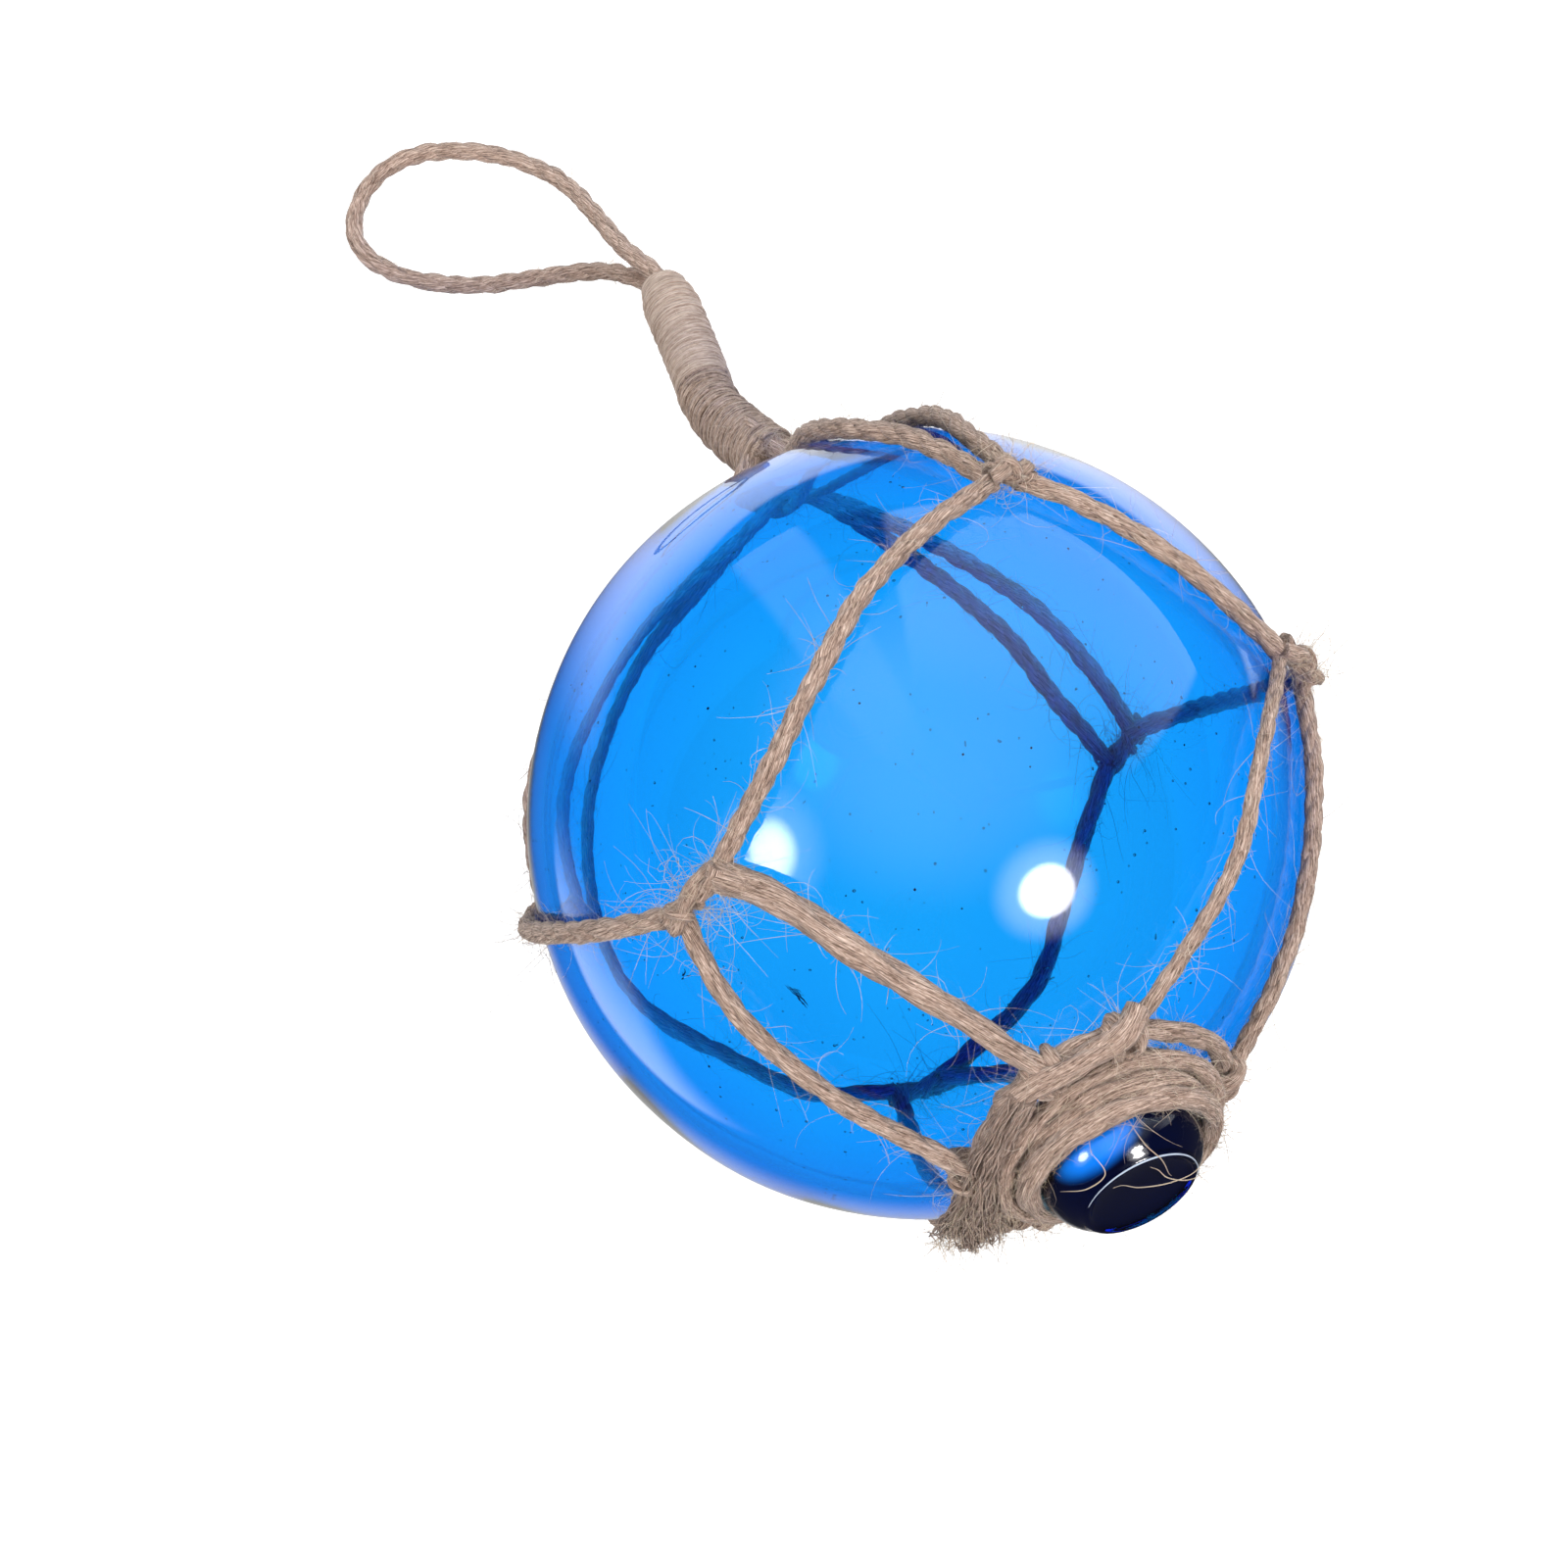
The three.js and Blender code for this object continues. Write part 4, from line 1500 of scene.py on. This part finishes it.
@dataclass
class NeckWhipping:
    """Fine twine wound round the neck, close and smooth at the top and rougher at its root."""

    diameter: float = WHIPPING
    twine: float = 0.5 * MM
    rough_share: float = 0.46
    below: float = 1.8 * MM  # how far it goes on from the neck's root towards the glass
    per_turn: int = 34
    sides: int = 7
    start: float = 0.4 * MM  # of the first turn, along the neck

    def radius_at(self, u: Array) -> Array:
        """Works out how thick the binding is.

        Args:
            u: shares of its length.

        Returns:
            Its outer radius at each.
        """
        fuller = 0.15 * MM * np.cos(np.minimum(1, u * 2.4) * math.pi)
        drawn_in = 0.75 * MM * np.clip((u - 0.88) / 0.12, 0, 1) ** 1.5
        return self.diameter / 2 + fuller - drawn_in

    def build(self, twine: bpy.types.Material, rough: bpy.types.Material, pale: bpy.types.Material) -> None:
        """Makes the twine's turns, the core under them and their fuzz.

        Args:
            twine: the finish of the close turns.
            rough: the finish of the rougher ones.
            pale: the loose fibres' finish.
        """
        neck = neck_points()
        line = even_path(np.vstack([neck[0] - unit(neck[1] - neck[0]) * self.below, neck]), 0.25 * MM)
        along = lengths_along(line)
        split = self.start + self.rough_share * (along[-1] - self.start)
        rng = np.random.default_rng(SEED + 31)
        close, loose, hairs = MeshMaker(), MeshMaker(), MeshMaker()
        self.wind(loose, line, (self.start, split), self.twine * 1.5, 0.35, rng)
        self.wind(close, line, (split, along[-1] + 0.2 * MM), self.twine, 0.1, rng)
        self.add_core(loose, line)
        cord = Cord(line[along > self.start], self.diameter * 1.1)
        Fibres(41, radius=0.018 * MM, joints=4, curl=0.2).along(hairs, cord, 14, 0.4 * MM, 1.5 * MM, 0.35)
        binding = close.piece("whipping_twine", twine)
        root = loose.piece("whipping_root", rough)
        fuzz = hairs.piece("whipping_fibres", pale)
        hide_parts("neck_whipping")
        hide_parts("neck_whipping")
        for made in (binding, root, fuzz):
            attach(made, "root")

    def wind(self, maker: MeshMaker, line: Array, span: tuple[float, float], thick: float,
             wander: float, rng: np.random.Generator) -> None:
        """Winds twine round one part of the neck.

        Args:
            maker: the mesh.
            line: the neck's middle.
            span: where the part starts and ends along it.
            thick: how thick the twine is.
            wander: how far its turns stray, in thicknesses.
            rng: where the random numbers come from.
        """
        along = lengths_along(line)
        _, across, beside = carried_frames(line)
        low, high = span
        turns = (high - low) / (thick * 0.92)
        u = np.linspace(0, 1, int(turns * self.per_turn))
        angle = u * turns * 2 * math.pi
        s = low + u * (high - low) + 0.35 * thick * np.sin(angle + 0.7)
        s = s + thick * wander * drifting(rng, u, 1 / turns * 0.6, 1)[:, 0]
        s = np.clip(s, 0, along[-1])
        radius = self.radius_at((s - self.start) / (along[-1] - self.start)) - thick * 0.5
        radius = radius + thick * 0.16 * drifting(rng, u, 1 / turns * 0.5, 1)[:, 0]
        first, second = read_between(across, along, s), read_between(beside, along, s)
        out = unit(turned_by(angle, first, second))
        helix = read_between(line, along, s) + out * radius[:, None]
        way = unit(np.gradient(helix, axis=0))
        corner = corner_angles(self.sides)
        size = thick * 0.62 * (1 + 0.15 * drifting(rng, u, 1 / turns * 0.3, self.sides))
        section = np.stack([size * np.cos(corner) * 0.85, size * np.sin(corner)], axis=-1)
        own = np.empty((len(u), self.sides, 3))
        own[..., 0] = (lengths_along(helix) / MM)[:, None]
        own[..., 1] = np.cos(corner)[None] * thick / MM
        own[..., 2] = np.sin(corner)[None] * thick / MM
        maker.sweep(helix, out, unit(np.cross(way, out)), section, own)

    def add_core(self, maker: MeshMaker, line: Array) -> None:
        """Adds the bound cords under the turns, as one plain core.

        Args:
            maker: the mesh.
            line: the neck's middle.
        """
        along = lengths_along(line)
        core = line[along > self.start - 1.2 * MM]
        _, across, beside = carried_frames(core)
        reach = lengths_along(core) + along[-1] - lengths_along(core)[-1]
        width = self.radius_at((reach - self.start) / (along[-1] - self.start)) - self.twine * 0.8
        sides = 20
        ring = corner_angles(sides)
        own = np.empty((len(core), sides, 3))
        own[..., 0] = np.cos(ring) * 9
        own[..., 1] = reach[:, None] / MM
        own[..., 2] = np.sin(ring) * 3
        maker.sweep(core, across, beside, round_section(width, sides), own)


@dataclass
class Net:
    """The knotted net: cords from the neck to the ring round the button, with their knots."""

    diameter: float = NET_CORD
    step: float = 0.5 * MM
    knot_hairs: int = 64
    cords: list[Cord] = field(default_factory=list)

    def lift(self, width: float) -> float:
        """The height of a cord's middle over the glass."""
        return TOUCH + width / 2

    def laid(self, points: list[Array], width: float, lay: Lay, seed: int,
             widths: tuple[float, float] | None = None) -> None:
        """Lays one cord over the glass and keeps it.

        Args:
            points: the points that it passes.
            width: its diameter.
            lay: how tightly it is laid.
            seed: makes it different from the others.
            widths: the diameters at its two ends, where they differ.
        """
        line = even_path(np.array(points), self.step)
        line = respaced(BALL.kept_off(line, self.lift(width * 0.94)), self.step)
        size = width if widths is None else np.linspace(*widths, len(line))
        self.cords.append(Cord(line, size, lay, seed))

    def bridge(self, knot: Knot, seed: int) -> None:
        """Ties one knot: two cords twisted round each other, with a turn drawn tight round them.

        Args:
            knot: the knot.
            seed: makes it different from the others.
        """
        width = self.diameter
        rise = TOUCH + width * 0.95
        ends = [BALL.over(knot.end(side * 1.15), rise) for side in (-1, 1)]
        middle = BALL.over((knot.polar, knot.around), rise)
        line = even_path(np.array([ends[0], middle, ends[1]]), self.step)
        line = BALL.kept_off(line, rise * 0.9)
        out = BALL.outward(line)
        tangent = unit(np.gradient(line, axis=0))
        side = np.cross(tangent, out)
        u = np.linspace(0, 1, len(line))
        for k in range(2):
            angle = math.pi * (k + 2 * (u - 0.1) * 0.8)
            spread = width * 0.24
            twisted = line + spread * (np.cos(angle)[:, None] * side + 0.8 * np.sin(angle)[:, None] * out)
            twisted = BALL.kept_off(twisted, self.lift(width * 0.6))
            self.cords.append(Cord(twisted, width * 0.82, Lay.SOFT, seed + k))
        at = 0.3 if seed % 2 else 0.68
        i = int(at * (len(line) - 1))
        a = np.linspace(0, 2 * math.pi * 1.05, 30)
        lean = 0.6
        turn = line[i] + np.outer(np.cos(a), side[i]) * width * 0.5
        turn = turn + np.outer(np.sin(a), out[i]) * width * 0.46
        turn = turn + np.outer(a / (2 * math.pi) - 0.6 + lean * np.cos(a), tangent[i]) * width * 0.75
        turn = BALL.kept_off(respaced(turn, self.step), self.lift(width * 0.55))
        self.cords.append(Cord(turn, width * 0.5, Lay.OPEN, seed + 5))

    def tie_neck(self) -> None:
        """Lays the cords from the neck to the upper knots."""
        neck = neck_points()
        inward = unit(neck[2] - neck[0])
        out = [np.array([1.0, 0, 0]), np.cross(inward, np.array([1.0, 0, 0]))]
        for i, (knot, end, via) in enumerate(NECK_CORDS):
            w = self.diameter
            a = math.radians(NECK_TURNS_DEG[i])
            aside = (math.cos(a) * out[0] + math.sin(a) * out[1]) * w * 0.95
            start = [neck[2] + aside * 0.7, neck[0] - inward * 0.8 * MM + aside]
            on = [BALL.over(p, self.lift(w)) for p in via]
            last = BALL.over(UPPER_KNOTS[knot].end(end * 0.8), self.lift(w))
            self.laid([*start, *on, last], w, Lay.MEDIUM, 10 + i)

    def tie_waist(self) -> None:
        """Lays the cords from the upper knots to the lower ones."""
        for i, (first, last, via) in enumerate(WAIST_CORDS):
            w = self.diameter * (0.95, 0.95, 1, 1, 1.05, 1)[i]
            on = [BALL.over(p, self.lift(w)) for p in via]
            a = BALL.over(UPPER_KNOTS[first[0]].end(first[1] * 0.8), self.lift(w))
            b = BALL.over(LOWER_KNOTS[last[0]].end(last[1] * 0.8), self.lift(w))
            self.laid([a, *on, b], w, (Lay.MEDIUM, Lay.SOFT)[i % 2], 30 + i)

    def tie_button(self, ring_polar: float) -> None:
        """Lays the cords from the lower knots to the ring round the button.

        Args:
            ring_polar: how far from the neck's pole the ring lies, in degrees.
        """
        sizes = ((1.5, 1.1), (0.95, 0.95), (0.68, 0.8), (0.85, 0.85), (1, 1), (1, 1))
        lays = (Lay.OPEN, Lay.SOFT, Lay.SOFT, Lay.MEDIUM, Lay.MEDIUM, Lay.MEDIUM)
        for i, (knot, end, via, at) in enumerate(BUTTON_CORDS):
            w = self.diameter
            on = [BALL.over(p, self.lift(w)) for p in via]
            a = BALL.over(LOWER_KNOTS[knot].end(end * 0.8), self.lift(w))
            b = BALL.over((ring_polar, at), self.lift(w) + w * 0.4)
            ends = (w * sizes[i][0], w * sizes[i][1])
            self.laid([a, *on, b], w * max(sizes[i]), lays[i], 50 + i, ends)

    def ring_polar(self) -> float:
        """How far from the neck's pole the net's own ring lies, in degrees."""
        outer = BUTTON_RADIUS + 0.3 * MM + RING_CORD + self.diameter / 2 + 1.2 * MM
        return 180 - math.degrees(math.asin(outer / (BALL.radius + 0.3 * MM + self.diameter / 2)))

    def tie_ring(self, polar: float) -> None:
        """Lays the net's own ring and ties each cord's end round it.

        Args:
            polar: how far from the neck's pole the ring lies, in degrees.
        """
        w = self.diameter
        turns = np.arange(0, 381, 12)
        points = [
            BALL.over((polar + 0.8 * math.sin(math.radians(3 * a)), -100 + a), self.lift(w) + 0.1 * MM)
            for a in turns
        ]
        self.laid(points, w, Lay.SOFT, 70)
        # Degrees round, degrees towards the neck, and millimetres over the ring's own height
        bar = ((-40, 1, 0.6), (-24, 1, 1.6), (-4, 0.4, 1.8), (14, 1.6, 1.6), (22, 4, 0.5))
        points = [BALL.over((polar - lean, a), self.lift(w) + rise * MM) for a, lean, rise in bar]
        self.laid(points, w * 1.25, Lay.OPEN, 75)
        for i, (_, _, _, at) in enumerate(BUTTON_CORDS):
            for k, turn in enumerate((-4.5, 3.5)):
                middle = BALL.over((polar, at + turn), self.lift(w) + 0.2 * MM)
                out = BALL.outward(middle)
                round_ = unit(BALL.over((polar, at + turn + 2), self.lift(w)) - middle)
                side = np.cross(out, round_)
                a = np.linspace(0, 2 * math.pi * 1.1, 24) + k * 2
                line = middle + np.outer(np.cos(a), side) * w * 0.86 + np.outer(np.sin(a), out) * w * 0.72
                line = line + np.outer((a - a[0]) / 6 - 0.5, round_) * w * 0.5
                line = BALL.kept_off(respaced(line, self.step), self.lift(w * 0.55))
                self.cords.append(Cord(line, w * 0.78, Lay.SOFT, 80 + 3 * i + k))

    def build(self, jute: bpy.types.Material, pale: bpy.types.Material) -> None:
        """Lays and ties the whole net, and adds its fuzz.

        Args:
            jute: the cords' finish.
            pale: the loose fibres' finish.
        """
        polar = self.ring_polar()
        self.tie_neck()
        self.tie_waist()
        self.tie_button(polar)
        for i, knot in enumerate([*UPPER_KNOTS, *LOWER_KNOTS]):
            self.bridge(knot, 110 + 9 * i)
        self.tie_ring(polar)
        maker = MeshMaker()
        for cord in self.cords:
            cord.add_to(maker)
        made = maker.piece("net_cords", jute)
        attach(made, "root")
        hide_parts("cord_net")
        LOG.info("net_cords: %d cords", len(self.cords))
        fuzz, strays = self.loose_fibres()
        for name, source in (("net_fuzz", fuzz), ("net_strays", strays)):
            hairs = source.piece(name, pale)
            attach(hairs, "root")

    def loose_fibres(self) -> tuple[MeshMaker, MeshMaker]:
        """Adds fuzz to every cord, and long stray hairs to cords and knots.

        Returns:
            The fuzz's mesh and the stray hairs' mesh.
        """
        fuzz, strays = MeshMaker(), MeshMaker()
        for i, cord in enumerate(self.cords):
            Fibres(200 + i, radius=0.02 * MM, joints=4).along(fuzz, cord, 6, 0.3 * MM, 1.4 * MM)
            Fibres(300 + i, radius=0.022 * MM, curl=0.36).along(strays, cord, 3, 1.5 * MM, 9 * MM, 0.6)
        n = self.knot_hairs
        for i, knot in enumerate([*UPPER_KNOTS, *LOWER_KNOTS]):
            rng = np.random.default_rng(SEED + 400 + i)
            middle = BALL.over((knot.polar, knot.around), 2 * MM)
            roots = middle + rng.normal(0, 1.3 * MM, (n, 3))
            out = BALL.outward(roots)
            ways = unit(rng.normal(size=(n, 3))) + 0.3 * out
            Fibres(410 + i, radius=0.023 * MM, joints=11, curl=0.5).add_to(
                strays, BALL.kept_off(roots, 0.3 * MM), ways, rng.uniform(3, 14, n) * MM)
        return fuzz, strays


@dataclass
class ButtonRing:
    """The thick cord wound round the button's root."""

    diameter: float = RING_CORD
    step: float = 0.5 * MM

    def build(self, jute: bpy.types.Material, pale: bpy.types.Material) -> None:
        """Makes the turns, their fuzz and the hairs that lie across the button.

        Args:
            jute: the cord's finish.
            pale: the loose fibres' finish.
        """
        near = BUTTON_RADIUS + self.diameter / 2 + 0.1 * MM
        base = math.sqrt((BALL.radius + TOUCH + self.diameter / 2) ** 2 - near**2)
        maker, hairs = MeshMaker(), MeshMaker()
        a = np.radians(np.arange(-150, 930, 8))
        share = (a - a[0]) / (a[-1] - a[0])
        radius = near + 0.3 * MM * np.sin(2.3 * a) * np.minimum(1, share * 2) - 0.25 * MM * share
        climb = 0.9 * np.clip((share - 0.25) / 0.2, 0, 1) + 0.75 * np.clip((share - 0.6) / 0.2, 0, 1)
        along = base + self.diameter * climb
        line = self.around(radius, along, a)
        cord = Cord(respaced(line, self.step), self.diameter, Lay.OPEN, 501)
        a = np.radians(np.arange(205, 600, 8))
        swing = 0.25 * np.sin(1.7 * a)
        second = self.around(near + self.diameter * (0.62 + swing * 0.4),
                             base + self.diameter * (0.5 + swing), a)
        outer = Cord(respaced(second, self.step), self.diameter * 0.8, Lay.OPEN, 502)
        for i, one in enumerate((cord, outer)):
            one.add_to(maker)
            Fibres(510 + i, radius=0.024 * MM, joints=4).along(hairs, one, 14, 0.4 * MM, 1.8 * MM)
            Fibres(520 + i, radius=0.027 * MM).along(hairs, one, 4, 2 * MM, 7 * MM, 0.5)
        for i, route in enumerate(BUTTON_HAIRS):
            points = [self.on_button(*place) for place in route]
            add_thread(hairs, even_path(np.array(points), 0.3 * MM), 0.06 * MM, 40.0 + 9 * i)
        made = maker.piece("button_ring_cord", jute)
        fuzz = hairs.piece("button_ring_fibres", pale)
        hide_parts("button_ring")
        for piece in (made, fuzz):
            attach(piece, "root")

    def on_button(self, upper: float, right: float, lift: float) -> Array:
        """A point over the button's face, from millimetres along its upper and right sides."""
        face = BALL.centre + BALL.to_button * (BALL.radius + BUTTON_HEIGHT + lift * MM)
        return face + (upper * BALL.upper_side + right * BALL.right_side) * MM

    def around(self, radius: Array, along: Array, angle: Array) -> Array:
        """Points round the button's axis."""
        return BALL.centre + along[:, None] * BALL.to_button + radius[:, None] * BALL.round_axis(angle)


@dataclass
class FrayedTail:
    """The cut end of the ring's cord, opened into a brush of fibres."""

    root_width: float = 2.4 * MM
    tip_width: float = 9 * MM
    tip_height: float = 3.4 * MM
    strands: int = 420
    tufts: int = 15
    loose_hairs: int = 600

    def build(self, jute: bpy.types.Material, pale: bpy.types.Material) -> None:
        """Makes the brush and its loose hairs.

        Args:
            jute: the strands' finish.
            pale: the loose fibres' finish.
        """
        rng = np.random.default_rng(SEED + 61)
        rise = 0.3 * MM + NET_CORD / 2 + self.tip_height / 2
        line = even_path(np.array([BALL.over(p, rise) for p in TAIL_ROUTE]), 0.8 * MM)
        whole = lengths_along(line)
        tufts = [
            (rng.uniform(-0.85, 0.85, 2), drifting(rng, whole, 3.2 * MM, 2) * 0.8 * MM)
            for _ in range(self.tufts)
        ]
        maker, hairs = MeshMaker(), MeshMaker()
        for k in range(self.strands):
            self.add_strand(maker, line, k, tufts[k % self.tufts], rng)
        self.add_hairs(hairs, line, rng)
        made = maker.piece("frayed_tail", jute)
        fuzz = hairs.piece("tail_fibres", pale)
        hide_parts("cord_net")
        for piece in (made, fuzz):
            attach(piece, "root")

    def add_strand(self, maker: MeshMaker, line: Array, k: int, tuft: tuple[Array, Array],
                   rng: np.random.Generator) -> None:
        """Adds one strand of the brush.

        Args:
            maker: the mesh.
            line: the brush's middle.
            k: the strand's number.
            tuft: the place across the brush of the tuft that it belongs to, and how that bends.
            rng: where the random numbers come from.
        """
        out = BALL.outward(line)
        side = np.cross(unit(np.gradient(line, axis=0)), out)
        u = np.linspace(0, 1, len(line))
        place = tuft[0] + rng.normal(0, 0.22, 2)
        if np.hypot(*place) > 1:
            place /= np.hypot(*place)
        keep = u <= rng.uniform(0.78, 1.0) - 0.1 * abs(place[0])
        opened = u[keep] ** 2.1
        wide = self.root_width / 2 + (self.tip_width - self.root_width) / 2 * opened
        high = self.root_width / 2 + (self.tip_height - self.root_width) / 2 * opened
        along = lengths_along(line[keep])
        wave = drifting(rng, along + 1e-6, 2 * MM, 2) * 0.4 * MM + tuft[1][keep] * opened[:, None]
        path = line[keep] + side[keep] * (place[0] * wide + wave[:, 0])[:, None]
        path = path + out[keep] * (place[1] * high + wave[:, 1])[:, None]
        path = BALL.kept_off(path, 0.15 * MM)
        _, across, beside = carried_frames(path)
        size = rng.uniform(0.07, 0.15) * MM * np.linspace(1, 0.55, len(path))
        sides = 4
        corner = corner_angles(sides)
        own = np.empty((len(path), sides, 3))
        own[..., 0] = (along / MM)[:, None] + k * 3.7
        own[..., 1] = np.cos(corner) * 0.2 + k * 0.9
        own[..., 2] = np.sin(corner) * 0.2
        maker.sweep(path, across, beside, round_section(size, sides), own)

    def add_hairs(self, hairs: MeshMaker, line: Array, rng: np.random.Generator) -> None:
        """Adds the loose hairs that stand out of the brush.

        Args:
            hairs: their mesh.
            line: the brush's middle.
            rng: where the random numbers come from.
        """
        n, count = len(line), self.loose_hairs
        out = BALL.outward(line)
        tangent = unit(np.gradient(line, axis=0))
        side = np.cross(tangent, out)
        u = np.linspace(0, 1, n)
        i = rng.integers(n // 3, n, count)
        roots = line[i] + side[i] * (rng.uniform(-0.45, 0.45, count) * self.tip_width * u[i])[:, None]
        ways = tangent[i] + 0.7 * rng.normal(size=(count, 3)) + 0.3 * out[i]
        Fibres(610, radius=0.025 * MM).add_to(hairs, roots, ways, rng.uniform(1.5, 5, count) * MM)


def main() -> None:
    """Builds the float piece by piece."""
    logging.basicConfig(level=logging.INFO, format="%(name)s: %(message)s")
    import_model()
    fibres = fibre_group()
    jute, twine, rough, pale = (
        finish.material(fibres) for finish in (CORD_JUTE, TWINE_JUTE, ROUGH_JUTE, LOOSE_JUTE))
    glass = GlassFinish().material()
    Studio().build()
    HangingLoop().build(jute, pale)
    GlassFloat().build(glass, SOOTY_GLASS.material(), DEEP_GLASS.material(), RIM_HIGHLIGHT_GLASS.material())
    NeckWhipping().build(twine, rough, pale)
    Net().build(jute, pale)
    ButtonRing().build(jute, pale)
    FrayedTail().build(jute, pale)


if __name__ == "__main__":
    main()
